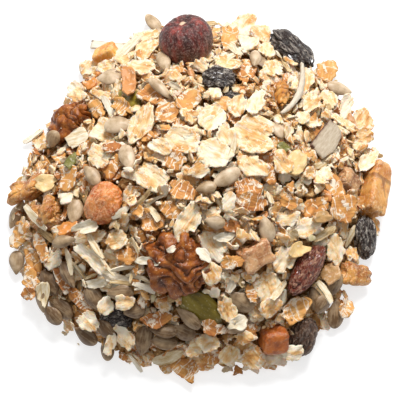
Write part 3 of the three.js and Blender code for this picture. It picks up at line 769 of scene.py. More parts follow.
def new_piece(name, points, faces, attributes, material, smooth=True):
    """A mesh object of the heap from points about the mound's axis; it rides on the one body."""
    mesh = bpy.data.meshes.new(name)
    mesh.vertices.add(len(points))
    mesh.vertices.foreach_set("co", ((points + SHIFT) * MM).astype(np.float32).ravel())
    mesh.loops.add(3 * len(faces))
    mesh.loops.foreach_set("vertex_index", faces.astype(np.int32).ravel())
    mesh.polygons.add(len(faces))
    mesh.polygons.foreach_set("loop_start", np.arange(0, 3 * len(faces), 3, dtype=np.int32))
    mesh.polygons.foreach_set("use_smooth", np.broadcast_to(smooth, len(faces)))
    for key, values in attributes.items():
        kind, field = ("FLOAT_VECTOR", "vector") if values.ndim == 2 else ("FLOAT", "value")
        layer = mesh.attributes.new(key, kind, "POINT")
        layer.data.foreach_set(field, values.astype(np.float32).ravel())
    mesh.materials.append(material)
    mesh.validate()
    mesh.update()
    piece = bpy.data.objects.new(name, mesh)
    bpy.context.scene.collection.objects.link(piece)
    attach(piece, "root")
    return piece


ABOVE_TABLE = 0.02
GRAIN_SPREAD = 400  # a piece's texture is taken from a place of its own, at most this far off


def join_small(kind, local, rim, faces, material, slot, sharp_faces=0):
    """One object from all the pieces of a kind. grain is each piece's own texture space, in mm.
    A piece's last sharp_faces faces keep their edges crisp."""
    pieces = laid[kind.name]
    count, each = local.shape[:2]
    axes = np.array([piece.axes for piece in pieces])
    middles = np.array([piece.middle for piece in pieces])
    world = np.einsum("nij,nvj->nvi", axes, local) + middles[:, None, :]
    world[:, :, 2] = np.maximum(world[:, :, 2], ABOVE_TABLE)
    grain = local + random.uniform(-GRAIN_SPREAD, GRAIN_SPREAD, (count, 1, 3))
    tones = np.repeat([piece.tone for piece in pieces], each)
    all_faces = (faces[None] + (np.arange(count) * each)[:, None, None]).reshape(-1, 3)
    attributes = {"grain": grain.reshape(-1, 3), "rim": rim.ravel(), "tone": tones}
    smooth = np.tile(np.arange(len(faces)) < len(faces) - sharp_faces, count)
    return new_piece(kind.name, world.reshape(-1, 3), all_faces, attributes, material, smooth)


# ---- Materials ----


def paint(hex_colour):
    """An sRGB hex colour as linear RGBA."""
    values = [int(hex_colour[i : i + 2], 16) / 255 for i in (0, 2, 4)]
    return (*[v / 12.92 if v <= 0.04045 else ((v + 0.055) / 1.055) ** 2.4 for v in values], 1)


MIX_SHARE, MIX_UNDER, MIX_OVER, MIX_RESULT = 0, 6, 7, 2  # the sockets of a Mix node that mixes colours


class Shader:
    """A node material under construction."""

    def __init__(self, name, **finish):
        self.material = bpy.data.materials.new(name)
        self.material.use_nodes = True
        self.tree = self.material.node_tree
        self.surface = self.tree.nodes["Principled BSDF"]
        for socket, value in finish.items():
            self.surface.inputs[socket.replace("_", " ")].default_value = value

    def node(self, kind, inputs=None, **settings):
        made = self.tree.nodes.new("ShaderNode" + kind)
        for key, value in settings.items():
            setattr(made, key, value)
        for key, value in (inputs or {}).items():
            if isinstance(value, bpy.types.NodeSocket):
                self.tree.links.new(value, made.inputs[key])
            else:
                made.inputs[key].default_value = value
        return made

    def attribute(self, name, output="Fac"):
        return self.node("Attribute", attribute_name=name).outputs[output]

    def grain(self, stretch=(1, 1, 1)):
        """Each piece's own texture space, in mm, squeezed by axis."""
        vector = self.attribute("grain", "Vector")
        return self.node("VectorMath", {0: vector, 1: stretch}, operation="MULTIPLY").outputs[0]

    def noise(self, scale, detail=3.0, stretch=(1, 1, 1), roughness=0.55, distortion=0.0):
        inputs = {"Vector": self.grain(stretch), "Scale": scale, "Detail": detail}
        inputs |= {"Roughness": roughness, "Distortion": distortion}
        return self.node("TexNoise", inputs).outputs["Fac"]

    def remap(self, value, low, high, to_low=0.0, to_high=1.0):
        inputs = {"Value": value, "From Min": low, "From Max": high, "To Min": to_low, "To Max": to_high}
        return self.node("MapRange", inputs).outputs[0]

    def maths(self, operation, a, b):
        return self.node("Math", {0: a, 1: b}, operation=operation).outputs[0]

    def ramp(self, value, stops):
        """A colour by value, through (position, colour) stops."""
        made = self.node("ValToRGB", {"Fac": value})
        band = made.color_ramp.elements
        for _ in stops[2:]:
            band.new(0.5)
        for element, (position, colour) in zip(band, stops):
            element.position = position
            element.color = colour
        return made.outputs["Color"]

    def mix(self, share, under, over):
        """The colour under, covered by a share of the colour over."""
        inputs = {MIX_SHARE: share, MIX_UNDER: under, MIX_OVER: over}
        return self.node("Mix", inputs, data_type="RGBA").outputs[MIX_RESULT]

    def finish(self, colour, height, relief, roughness=None):
        """Colour and roughness, and a bump whose height of 1 stands relief mm high."""
        bump = self.node("Bump", {"Height": height, "Distance": relief * MM, "Strength": 1.0})
        self.tree.links.new(bump.outputs["Normal"], self.surface.inputs["Normal"])
        self.tree.links.new(colour, self.surface.inputs["Base Color"])
        if roughness is not None:
            self.tree.links.new(roughness, self.surface.inputs["Roughness"])
        return self.material


FLOUR = paint("f0e2cc")
CREAM = paint("ecd3a9")
STRAW = paint("e8c088")
GOLD = paint("d8a05a")
TAN = paint("ca8c4b")
BRAN_SKIN = paint("ae6c38")
DARK_SKIN = paint("74411f")


def oat_material():
    """Cream, golden in broad streaks and folds along the fibres, with white flour on it and on its rim."""
    shader = Shader(
        "oat", Roughness=0.7, Specular_IOR_Level=0.3, Subsurface_Weight=0.15, Subsurface_Scale=1.2 * MM
    )
    fibre = shader.noise(0.75, 4, (0.32, 1.4, 1), 0.58, 0.6)
    broad = shader.noise(0.3, 2, (0.6, 1.4, 1), 0.5, 0.6)
    patches = shader.noise(0.2, 3, roughness=0.6)
    tone = shader.remap(shader.attribute("tone"), 0, 1, -0.08, 0.18)
    mottle = shader.maths("MULTIPLY", shader.maths("ADD", patches, broad), 0.5)
    toasted = shader.maths("ADD", mottle, tone)
    colour = shader.ramp(toasted, [(0.38, FLOUR), (0.46, CREAM), (0.54, STRAW), (0.64, GOLD)])
    streaks = shader.remap(fibre, 0.49, 0.66, 0, 0.85)
    streaked = shader.maths("MULTIPLY", streaks, shader.remap(toasted, 0.4, 0.52, 0.25, 1))
    skin = shader.ramp(toasted, [(0.36, STRAW), (0.46, GOLD), (0.56, TAN), (0.68, BRAN_SKIN)])
    colour = shader.mix(streaked, colour, skin)
    white_fibres = shader.remap(fibre, 0.44, 0.36, 0, 0.55)
    colour = shader.mix(white_fibres, colour, FLOUR)
    flour = shader.noise(0.7, 5, roughness=0.7)
    rim = shader.remap(shader.attribute("rim"), 0.3, 1, -0.03, 0.1)
    floured = shader.remap(shader.maths("ADD", flour, rim), 0.56, 0.61, 0, 0.8)
    colour = shader.mix(floured, colour, FLOUR)
    height = shader.maths("ADD", shader.maths("ADD", fibre, broad), shader.maths("MULTIPLY", flour, 0.6))
    return shader.finish(colour, height, 0.42)


def bran_material():
    """Orange-brown skin, broken by pale cracks across the flake and by floury patches."""
    shader = Shader("bran", Roughness=0.62, Specular_IOR_Level=0.3)
    fibre = shader.noise(1.0, 4, (0.35, 1.6, 1))
    blotch = shader.noise(0.28, 3)
    tone = shader.remap(shader.attribute("tone"), 0, 1, -0.2, 0.18)
    shade = shader.maths("ADD", shader.maths("MULTIPLY", shader.maths("ADD", fibre, blotch), 0.5), tone)
    stops = [(0.26, STRAW), (0.38, GOLD), (0.52, TAN), (0.66, BRAN_SKIN), (0.85, DARK_SKIN)]
    skin = shader.ramp(shade, stops)
    winding = shader.noise(0.3, 3, (1.6, 0.5, 1), 0.5, 0.3)
    across = shader.maths("ABSOLUTE", shader.maths("SUBTRACT", winding, 0.5), 0)
    cracks = shader.remap(across, 0.008, 0.03, 0.85, 0)
    flour = shader.remap(shader.noise(0.34, 5, (0.8, 1.2, 1), 0.62), 0.57, 0.62, 0, 0.92)
    pale_share = shader.maths("MAXIMUM", cracks, flour)
    colour = shader.mix(pale_share, skin, FLOUR)
    height = shader.maths("ADD", fibre, shader.maths("MULTIPLY", flour, 0.4))
    return shader.finish(colour, height, 0.28)


def husk_material():
    """Papery husk and germ: pale, greyish or yellowish."""
    shader = Shader("husk", Roughness=0.6, Specular_IOR_Level=0.35)
    fibre = shader.noise(0.9, 5, (0.4, 1.8, 1), 0.65)
    tone = shader.remap(shader.attribute("tone"), 0, 1, -0.25, 0.25)
    shade = shader.maths("ADD", fibre, tone)
    stops = [
        (0.25, paint("f0e6d2")),
        (0.42, paint("decdac")),
        (0.58, paint("c9ab78")),
        (0.75, paint("8f6d45")),
    ]
    return shader.finish(shader.ramp(shade, stops), fibre, 0.2)


def kernel_material():
    """Grey-beige and ribbed, with painted shade round the rim; tones above 1 add painted shade too."""
    shader = Shader("kernel", Roughness=0.42, Specular_IOR_Level=0.45)
    ribs = shader.noise(0.9, 4, (0.25, 2.2, 2.2))
    blotch = shader.noise(0.35, 4)
    # tones above 1 belong to the kernels low on the front flank: painted shade
    tone = shader.remap(shader.attribute("tone"), 0, 1.3, -0.2, 0.34)
    shade = shader.maths("ADD", blotch, tone)
    colour = shader.ramp(shade, [(0.28, paint("d3bb9c")), (0.5, paint("ab8f6c")), (0.8, paint("684c30"))])
    # painted shade round the rim, where the kernel turns from the light
    edge = shader.remap(shader.attribute("rim"), 0.55, 1, 0, 0.6)
    colour = shader.mix(edge, colour, paint("77593a"))
    colour = shader.mix(shader.remap(ribs, 0.5, 0.65, 0, 0.3), colour, paint("ccb796"))
    return shader.finish(colour, ribs, 0.1)


def coconut_material():
    """Off-white to grey-beige flesh, and brown skin where tone is 1."""
    shader = Shader("coconut", Roughness=0.65, Specular_IOR_Level=0.3)
    fibre = shader.noise(1.2, 4, (0.4, 1.8, 1.8))
    grey = shader.maths("ADD", shader.attribute("tone"), shader.remap(fibre, 0.3, 0.7, -0.12, 0.12))
    stops = [
        (0.0, paint("ede6d6")),
        (0.25, paint("ddd3c0")),
        (0.55, paint("bbaa92")),
        (0.75, paint("a08c76")),
        (0.95, paint("5d4238")),
    ]
    return shader.finish(shader.ramp(grey, stops), fibre, 0.12)


def fruit_flake_material():
    """Green seed, grey millet and yellow, brown or orange fruit, by tone, with some flour."""
    shader = Shader("fruit_flake", Roughness=0.45, Specular_IOR_Level=0.45)
    blotch = shader.noise(0.5, 4)
    hue = shader.maths("ADD", shader.attribute("tone"), shader.remap(blotch, 0.3, 0.7, -0.05, 0.05))
    stops = [
        (0.0, paint("6f6b2a")),
        (0.06, paint("a09458")),
        (0.16, paint("d2c2a0")),
        (0.28, paint("e8c88c")),
        (0.4, paint("cda566")),
        (0.6, paint("b88a5c")),
        (0.8, paint("d28c4e")),
        (1.0, paint("dd8d36")),
    ]
    flour = shader.remap(shader.noise(0.9, 4), 0.55, 0.7, 0, 0.6)
    colour = shader.mix(flour, shader.ramp(hue, stops), FLOUR)
    return shader.finish(colour, shader.noise(0.9, 4), 0.3)


def crumb_material():
    shader = Shader("crumb", Roughness=0.75, Specular_IOR_Level=0.25)
    stops = [(0.0, FLOUR), (0.4, CREAM), (0.62, STRAW), (0.8, GOLD), (0.95, TAN), (1.0, BRAN_SKIN)]
    uneven = shader.remap(shader.noise(0.8), 0.3, 0.7, -0.15, 0.15)
    hue = shader.maths("ADD", shader.attribute("tone"), uneven)
    return shader.finish(shader.ramp(hue, stops), shader.noise(1.5, 4), 0.2)


# Browner than the pieces on top: painted shade for the gaps deep in the heap, and for the inner flakes there
def core_shade_material():
    shader = Shader("painted_shade_core", Roughness=0.9, Specular_IOR_Level=0.1)
    coarse = shader.noise(0.7, 5, roughness=0.7)
    stops = [(0.33, paint("7c4e28")), (0.48, paint("b9864f")), (0.62, paint("e4c18a"))]
    return shader.finish(shader.ramp(coarse, stops), coarse, 1.2)


def hazelnut_material():
    """Papery red-brown skin with dusty specks and a pale tuft, where tone is 1."""
    shader = Shader("hazelnut_skin", Roughness=0.36, Specular_IOR_Level=0.5)
    streaks = shader.noise(0.5, 4, (1, 1, 0.2))
    dust = shader.noise(1.5, 4, roughness=0.7)
    colour = shader.ramp(streaks, [(0.32, paint("2c100d")), (0.5, paint("561c16")), (0.68, paint("96352a"))])
    low_down = shader.remap(shader.attribute("rim"), 0, 1, -0.04, 0.03)
    dusty = shader.remap(shader.maths("ADD", dust, low_down), 0.5, 0.64, 0, 0.55)
    colour = shader.mix(dusty, colour, paint("b09388"))
    around_tip = shader.maths("ADD", shader.attribute("tone"), shader.remap(dust, 0.3, 0.7, -0.25, 0.25))
    colour = shader.mix(shader.remap(around_tip, 0.35, 0.6, 0, 0.9), colour, paint("e2c6a6"))
    return shader.finish(colour, shader.maths("ADD", streaks, dust), 0.35)


def raisin_material(name, wrinkle_shade_colour, skin, bloom_and_sheen, bloom_and_sheen_share, stretch=(0.55, 1.2, 1.2)):
    """Glossy wrinkled skin with a broken net of pale bloom that is partly painted sheen; painted shade
    darkens the wrinkles, where tone is 1.
    """
    shader = Shader(name, Roughness=0.3, Specular_IOR_Level=0.6)
    winding = shader.noise(0.75, 3, stretch, 0.6, 0.4)
    off_line = shader.maths("ABSOLUTE", shader.maths("SUBTRACT", winding, 0.5), 0)
    net = shader.remap(off_line, 0.01, 0.06, 1, 0.3)
    specks = shader.remap(shader.noise(1.1, 3, stretch, 0.7), 0.49, 0.56, 0, bloom_and_sheen_share)
    # the pale bloom, painted also as the sheen of glints along the ridges
    colour = shader.mix(shader.maths("MULTIPLY", net, specks), skin, bloom_and_sheen)
    # painted shade in the wrinkles
    painted_wrinkle_shade = shader.remap(shader.attribute("tone"), 0.5, 0.95, 0, 0.85)
    colour = shader.mix(painted_wrinkle_shade, colour, wrinkle_shade_colour)
    height = shader.maths("ADD", net, specks)
    return shader.finish(colour, height, 0.22, shader.remap(specks, 0, bloom_and_sheen_share, 0.24, 0.6))


def sultana_material():
    """Amber flesh under a grainy pale frost, with painted shade: less frost on its underside and darker
    wrinkles.
    """
    shader = Shader(
        "sultana_skin",
        Roughness=0.4,
        Specular_IOR_Level=0.45,
        Subsurface_Weight=0.25,
        Subsurface_Scale=2 * MM,
    )
    frost = shader.noise(1.3, 3, roughness=0.75)
    base = shader.ramp(shader.noise(0.25, 3), [(0.35, paint("a64e18")), (0.6, paint("d98338"))])
    # painted shade: less frost on the lower half
    upper = shader.remap(shader.attribute("rim"), 0, 0.8, -0.09, 0.01)
    frosted = shader.remap(shader.maths("ADD", frost, upper), 0.42, 0.64, 0, 0.62)
    colour = shader.mix(frosted, base, paint("eec298"))
    # painted shade in the wrinkles, where tone is 1
    colour = shader.mix(shader.remap(shader.attribute("tone"), 0.6, 1, 0, 0.5), colour, paint("8a3f17"))
    return shader.finish(colour, frost, 0.25)


def walnut_material(name, dark, middling, light):
    """Brown skin with painted shade in its furrows, where tone is 1, and pale flecks."""
    shader = Shader(name, Roughness=0.33, Specular_IOR_Level=0.35)
    mottle = shader.noise(0.4, 4, roughness=0.65)
    colour = shader.ramp(mottle, [(0.32, dark), (0.5, middling), (0.68, light)])
    # painted shade in the furrows
    furrow_shade = shader.remap(shader.attribute("tone"), 0.45, 0.95, 0, 0.85)
    colour = shader.mix(furrow_shade, colour, paint("2a1207"))
    flecks = shader.remap(shader.noise(1.2, 4, roughness=0.7), 0.62, 0.68, 0, 0.8)
    colour = shader.mix(flecks, colour, paint("ecd9bc"))
    return shader.finish(colour, shader.noise(1.2, 5), 0.25)


def pumpkin_material():
    shader = Shader("pumpkin_seed_skin", Roughness=0.36, Specular_IOR_Level=0.5)
    mottle = shader.noise(0.3, 4, (0.5, 1.6, 1))
    colour = shader.ramp(mottle, [(0.3, paint("635414")), (0.55, paint("877420")), (0.75, paint("aa9a45"))])
    dust = shader.remap(shader.noise(1.3, 5), 0.6, 0.72, 0, 0.5)
    colour = shader.mix(dust, colour, paint("ddd6ac"))
    return shader.finish(colour, mottle, 0.15)


def fruit_material(name, dark, light, frost_share):
    """Cubes and lumps of dried fruit, with a sugary or floury frost.
    tone is 1 in a crease, which is darkened as painted shade, and rim is 1 on an edge."""
    shader = Shader(
        name, Roughness=0.38, Specular_IOR_Level=0.5, Subsurface_Weight=0.15, Subsurface_Scale=1.5 * MM
    )
    flesh = shader.noise(0.28, 4, roughness=0.6)
    colour = shader.ramp(flesh, [(0.36, dark), (0.62, light)])
    frost = shader.noise(1.3, 4, roughness=0.7)
    on_edges = shader.remap(shader.attribute("rim"), 0.66, 0.9, 0, 0.1)
    frosted = shader.remap(shader.maths("ADD", frost, on_edges), 0.52, 0.64, 0, frost_share)
    colour = shader.mix(frosted, colour, paint("f3dcba"))
    # painted shade in the creases; the band's stripe is darkened the same way
    creases = shader.remap(shader.attribute("tone"), 0.6, 1, 0, 0.6)
    colour = shader.mix(creases, colour, paint("6a3213"))
    return shader.finish(colour, shader.maths("ADD", flesh, frost), 0.3)


# ---- Nuts, raisins and fruit ----


def put_topping(name, local, faces, tone, rim, material):
    """Puts a detailed topping where its solid lies and shows it in the solid's place."""
    axes, middle = pose_on_mound(TOPPINGS[name])
    low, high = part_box(name)
    points = local @ axes.T + middle
    box_middle = np.array((low + high) / 2) / MM - SHIFT
    points += box_middle - (points.min(0) + points.max(0)) / 2
    attributes = {"grain": local + 10.0, "rim": rim, "tone": tone}
    piece = new_piece(name + "_shown", points, faces, attributes, material)
    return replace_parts(piece, name)


def hazelnut(name, material):
    """Broad shoulders, the right one higher, round a dimple with a tuft and wrinkles that run out from it."""
    length, width, height = TOPPINGS[name].size
    ball, faces = lump_grid(128, 80)
    around = np.arctan2(ball[:, 2], ball[:, 1])
    upper = np.clip(ball[:, 0], 0, 1)
    off = np.hypot(ball[:, 1], ball[:, 2]) ** 0.82
    circle = np.column_stack([3.4 * np.cos(around), 3.4 * np.sin(around), 1.5 * ball[:, 0]])
    folds = crease_lines(circle, 1.0, 3, 5)
    tuft = np.exp(-((off / 0.13) ** 2)) * (upper > 0)
    along = np.sign(ball[:, 0]) * np.abs(ball[:, 0]) ** 0.9
    along -= 0.24 * np.exp(-((off / 0.36) ** 2)) * upper - 0.1 * tuft
    along -= 0.09 * np.sin(around) * off * upper
    along -= 0.06 * folds * np.exp(-(((off - 0.5) / 0.3) ** 2)) * upper
    off *= 1 + 0.03 * np.cos(4 * around + 1) - 0.03 * folds * (1 - ball[:, 0] ** 4)
    off *= 1 - 0.14 * np.clip(-ball[:, 0], 0, 1) ** 1.5
    points = np.column_stack([-off * np.sin(around), off * np.cos(around), along])
    points *= np.array([length, width, height]) / 2
    put_topping(name, points, faces, tuft, 1 - upper, material)


def raisin(name, seed, material, depth=0.13, folding=0.8, wrinkle=(4.5, 1.5, 1.5)):
    """Wrinkled and folded; wrinkle is how long and how far apart its wrinkles are."""
    size = np.array(TOPPINGS[name].size)
    ball, faces = lump_grid(96, 72)
    along = ball[:, 0]
    around = np.arctan2(ball[:, 2], ball[:, 1])
    folds = 0.13 * np.cos(3 * around + 2.2 * along + seed) * (1 - along**2)
    folds += 0.08 * np.cos(5 * around - 3.1 * along + 2 * seed) * (1 - along**4)
    skin = ball * size / 2
    skin += 0.4 * np.column_stack([noise(skin, 2.2, seed + k) for k in (31, 32, 33)])
    wrinkles = crease_lines(skin, wrinkle, seed, 5)
    fine = crease_lines(skin, np.array(wrinkle) / 2, seed + 50, 4)
    shape = 1 + folding * folds - depth * wrinkles - 0.35 * depth * fine + 0.03 * noise(skin, 3.5, seed + 9)
    # tone marks the wrinkles, which the material darkens as painted shade
    tone = np.maximum(wrinkles, 0.6 * fine)
    put_topping(name, ball * shape[:, None] * size / 2, faces, tone, ball[:, 2], material)


def walnut(name, seed, material, detail=(128, 96)):
    """Winding plump ridges with narrow furrows between them."""
    size = np.array(TOPPINGS[name].size)
    ball, faces = lump_grid(*detail)
    along = ball[:, 0]
    around = np.arctan2(ball[:, 2], ball[:, 1])
    lobes = 0.15 * np.sin(3 * around + 2.4 * np.sin(3.2 * along + seed)) * (1 - along**4)
    lobes += 0.09 * np.sin(5 * around - 4.6 * along + 2 * seed) * (1 - along**2)
    skin = ball * size / 2
    winding = 1.9 * noise(skin, 7, seed) + 0.5 * noise(skin, 3.6, seed + 1) + 0.05 * skin[:, 1]
    ridge = np.abs(np.sin(math.pi * winding)) ** 0.6
    fine = crease_lines(skin, 2.0, seed + 20, 3)
    shape = 0.82 + 0.9 * lobes + 0.26 * ridge - 0.03 * fine + 0.05 * noise(skin, 2.2, seed + 5)
    # tone marks the furrows, which the material darkens as painted shade
    tone = np.maximum((1 - ridge) ** 0.8, 0.5 * fine)
    put_topping(name, ball * shape[:, None] * size / 2, faces, tone, ball[:, 2], material)


def pumpkin_seed(name, seed, material):
    size = np.array(TOPPINGS[name].size)
    ball, faces = lump_grid(72, 48)
    narrowing = 1 - 0.28 * (ball[:, 0] / 2 + 0.5) ** 2
    rim = np.clip(np.abs(ball[:, 1]) - 0.6, 0, 1) * 0.35
    points = ball * size / 2 * np.column_stack([np.ones(len(ball)), narrowing * 1.04, 1 + rim])
    points[:, 2] += 0.12 * noise(points, 3.0, seed) + 0.1 * size[0] / 14 * ball[:, 0] ** 2
    put_topping(name, points, faces, np.zeros(len(ball)), rim, material)


FRUIT_SKINS = [  # name, dark and light colour, share of frost
    # the orange skin, on the front cube, is darker and less frosted: painted shade, as that face lies in
    # shade
    ("orange", "8c400f", "c26a20", 0.14),
    ("light_orange", "dd8228", "f6b254", 0.45),
    ("tan", "bf7429", "e8ac5c", 0.4),
    ("amber", "9a571f", "d99c50", 0.45),
    ("mauve", "83502c", "c99865", 0.4),
    ("pink", "a86838", "dba877", 0.5),
]
FRUITS = [  # node, skin, squareness, roughness, size of its bumps, waist, band
    ("fruit_bar_right", "tan", 0.4, 0.07, 3.4, 0, 1.5),
    ("fruit_front", "orange", 0.42, 0.07, 3.4, 0, 0),
    ("fruit_centre", "pink", 0.42, 0.12, 3.2, 0.16, 0),
    ("fruit_back_left", "light_orange", 0.36, 0.07, 3.4, 0, 0),
    ("fruit_left_edge", "amber", 0.75, 0.34, 3.6, 0, 0),
    ("fruit_left", "amber", 0.8, 0.34, 4.2, 0, 0),
    ("fruit_right", "mauve", 0.6, 0.16, 4.2, 0.1, 0),
    ("fruit_right_low", "amber", 0.6, 0.2, 4.4, 0.1, 0),
]
FIRST_FRUIT_SEED = 15


def fruit(name, seed, material, squareness, roughness, bumps, waist, band):
    """A block or lump of fruit: the less squareness, the flatter its faces; waist draws its sides in,
    and band is how dark a stripe round it is."""
    size = np.array(TOPPINGS[name].size)
    ball, faces = lump_grid(80, 60)
    boxed = np.sign(ball) * np.abs(ball) ** squareness
    skin = boxed * size / 2
    creases = crease_lines(skin + noise(skin, 3, seed)[:, None], (4.6, 3.6, 3.6), seed + 4, 7)
    shape = 0.97 + roughness * noise(skin, bumps, seed) + 0.2 * roughness * noise(skin, 1.3, seed + 1)
    shape -= 0.6 * roughness * creases
    plan = np.arctan2(boxed[:, 1], boxed[:, 0])
    shape -= waist * np.cos(2 * plan) ** 2 * np.hypot(ball[:, 0], ball[:, 1])
    edges = np.sort(np.abs(boxed), axis=1)[:, 1]
    stripe = band * np.exp(-(((boxed[:, 0] - 0.25) / 0.12) ** 2))
    # tone: the creases, which the material darkens as painted shade, and the band
    tone = np.maximum(creases, stripe)
    put_topping(name, skin * shape[:, None], faces, tone, edges, material)


def coconut_plate(name, seed, material, cuts, tone, bend):
    """A thin slice of coconut. Each of its straight cuts is a direction and a distance from its middle."""
    size = np.array(TOPPINGS[name].size)
    sides, rings = 72, 6
    angle = np.linspace(0, 2 * math.pi, sides, endpoint=False)
    reaches = [far / np.cos(angle - math.radians(way)).clip(0.01) for way, far in cuts]
    shares = np.linspace(0, 1, rings + 1)[1:] ** 0.8
    share = np.concatenate([[0], np.repeat(shares, sides)])
    around = np.concatenate([[0], np.tile(angle, rings)])
    off = share * np.concatenate([[0], np.tile(np.min(reaches, axis=0), rings)])
    x, y = off * np.cos(around), off * np.sin(around)
    flat = np.column_stack([x * size[0] / 2, y * size[1] / 2, np.zeros(len(x))])
    flat[:, :2] *= (1 + 0.04 * share * noise(flat + seed, 1.4, seed))[:, None]
    sheet = bend * (x**2 - 0.4) + 0.1 * noise(flat, 3, seed)
    half = size[2] / 2 * 0.7 * (1 - 0.35 * share**6)
    top, bottom = flat.copy(), flat.copy()
    top[:, 2], bottom[:, 2] = sheet + half, sheet - half
    points = np.vstack([top, bottom])
    rim = np.concatenate([share, share])
    brown_skin = rim**8 * (points[:, 1] > 0.2 * size[1])
    tones = tone + (0.95 - tone) * brown_skin
    put_topping(name, points, disc_faces(sides, rings), tones, rim, material)


def coconut_shred(name, material, tone):
    """A long narrow shred, bent aside and thinner towards its ends."""
    length, width, thickness = TOPPINGS[name].size
    steps = 40
    along = np.repeat(np.linspace(-1, 1, steps), 4)
    side_y, side_z = np.tile([-1, 1, 1, -1], steps), np.tile([-1, -1, 1, 1], steps)
    line = shred_line(length, along)
    half_width = width / 2 * (1 - 0.5 * along**2) * (1 + 0.25 * noise(line + 5, 1.8, 4))
    points = line + np.column_stack([np.zeros(len(along)), side_y * half_width, side_z * thickness / 2])
    tones = np.full(len(points), tone)
    put_topping(name, points, strip_faces(steps), tones, np.abs(along), material)


def add_toppings():
    hazelnut("hazelnut", hazelnut_material())
    # a raisin's colours: the painted shade of its wrinkles, its skin, and its pale bloom with painted sheen,
    # then that bloom's share
    black = raisin_material("black_raisin", paint("120c0a"), paint("352823"), paint("cfc4b6"), 0.85)
    red = raisin_material("red_raisin", paint("2a0c06"), paint("6e2c18"), paint("dcae8c"), 0.6)
    brown = raisin_material("brown_raisin", paint("1c110c"), paint("563c2c"), paint("b39c86"), 0.5)
    long_ridges = (0.22, 1.1, 1.1)
    # the first colour paints the shade in the wrinkles; the pale one is bloom with painted sheen
    dark, skin, bloom_and_sheen = paint("120b09"), paint("2e211c"), paint("c4b8aa")
    ridged = raisin_material("ridged_raisin", dark, skin, bloom_and_sheen, 0.7, long_ridges)
    raisin("raisin_back_right", 2, ridged, depth=0.17, folding=1, wrinkle=(10, 2.4, 2.4))
    for seed, name in enumerate(["raisin_back", "raisin_under", "raisin_right", "raisin_sunk"], 3):
        raisin(name, seed, black)
    raisin("raisin_red", 7, red, depth=0.1, folding=0.5)
    raisin("raisin_front", 8, brown)
    raisin("sultana", 9, sultana_material(), depth=0.06, folding=0.75)
    walnut_skin = walnut_material("walnut_skin", paint("50240d"), paint("8a4818"), paint("b9722f"))
    amber_skin = walnut_material("walnut_crumb_skin", paint("9a5620"), paint("c6853a"), paint("e2b268"))
    walnut("walnut_centre", 10, walnut_skin)
    walnut("walnut_left", 11, walnut_skin)
    walnut("walnut_crumb", 12, amber_skin, (64, 40))
    seed_skin = pumpkin_material()
    pumpkin_seed("pumpkin_seed_front", 13, seed_skin)
    pumpkin_seed("pumpkin_seed_back", 14, seed_skin)
    skins = {
        name: fruit_material(name + "_fruit", paint(dark), paint(light), frost)
        for name, dark, light, frost in FRUIT_SKINS
    }
    for seed, (name, skin, *form) in enumerate(FRUITS, FIRST_FRUIT_SEED):
        fruit(name, seed, skins[skin], *form)
    coconut = coconut_material()
    chip_cuts = [(0, 0.95), (180, 0.95), (90, 0.78), (-72, 0.88), (-112, 0.9), (-38, 1)]
    back_cuts = [(0, 0.97), (180, 0.97), (90, 0.8), (-90, 0.8)]
    coconut_plate("coconut_chip", 23, coconut, chip_cuts, tone=0.55, bend=0.4)
    coconut_plate("coconut_chip_back", 24, coconut, back_cuts, tone=0.2, bend=0.2)
    coconut_shred("coconut_shred", coconut, tone=0.38)


# ---- The core and the heap ----


CORE_SIDES = 120
CORE_RINGS = 44
CORE_FOOT = 0.05  # the height of its underside
CORE_EDGE = 0.3  # the least height of its top
CORE_INSET = 0.7 * CORE_DEPTH
BUMP_HEIGHT = 0.7
BUMP_SIZE = 2.2


def add_core(material):
    """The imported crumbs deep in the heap, under the flakes that show."""
    angle = np.tile(np.linspace(0, 2 * math.pi, CORE_SIDES, endpoint=False), CORE_RINGS)
    share = np.repeat(np.linspace(1, 0.5 / CORE_RINGS, CORE_RINGS), CORE_SIDES)
    reach = share * (outline_radius(angle) - CORE_INSET)
    x, y = reach * np.cos(angle), reach * np.sin(angle)
    bumps = BUMP_HEIGHT * noise(np.column_stack([x, y, x * 0]), BUMP_SIZE, 1)
    top = np.maximum(mound_height(x, y) - CORE_DEPTH + bumps, CORE_EDGE)
    body = np.column_stack([x, y, np.where(share == 1, CORE_FOOT, top)])
    points = np.vstack([[0, 0, CORE_FOOT], body, [0, 0, HEAP_HEIGHT - CORE_DEPTH]])
    faces = lump_faces(CORE_SIDES, CORE_RINGS)
    zero = np.zeros(len(points))
    attributes = {"grain": points, "rim": zero, "tone": zero}
    core = new_piece("heap_core", points, faces, attributes, material)
    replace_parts(core, "muesli_heap")


def add_small_pieces(inner_shade_material):
    oat, bran = oat_material(), bran_material()
    husk = husk_material()
    flakes = [
        (OAT, oat, "oat_flakes"),
        (BROKEN_OAT, oat, "oat_flakes"),
        (BRAN, bran, "bran_flakes"),
        (BROKEN_BRAN, bran, "bran_flakes"),
        (HUSK, husk, "bran_flakes"),
        (FRUIT_FLAKE, fruit_flake_material(), "dried_fruit"),
        (INNER, inner_shade_material, "oat_flakes"),
    ]
    for kind, material, slot in flakes:
        shape = FLAKE_SHAPES[kind.name]
        faces = disc_faces(shape.sides, len(shape.rings))
        join_small(kind, *flake_points(laid[kind.name], shape), faces, material, slot, 2 * shape.sides)
    seeds = kernel_points(laid[KERNEL.name])
    join_small(KERNEL, *seeds, KERNEL_GRID[1], kernel_material(), "sunflower_kernel")
    faces = strip_faces(STRIP_STEPS)
    join_small(STRIP, *strip_points(laid[STRIP.name]), faces, husk, "coconut", len(faces))
    join_small(CRUMB, *crumb_points(laid[CRUMB.name]), CRUMB_GRID[1], crumb_material(), "oat_flakes")


# ---- The table, the light and the camera ----

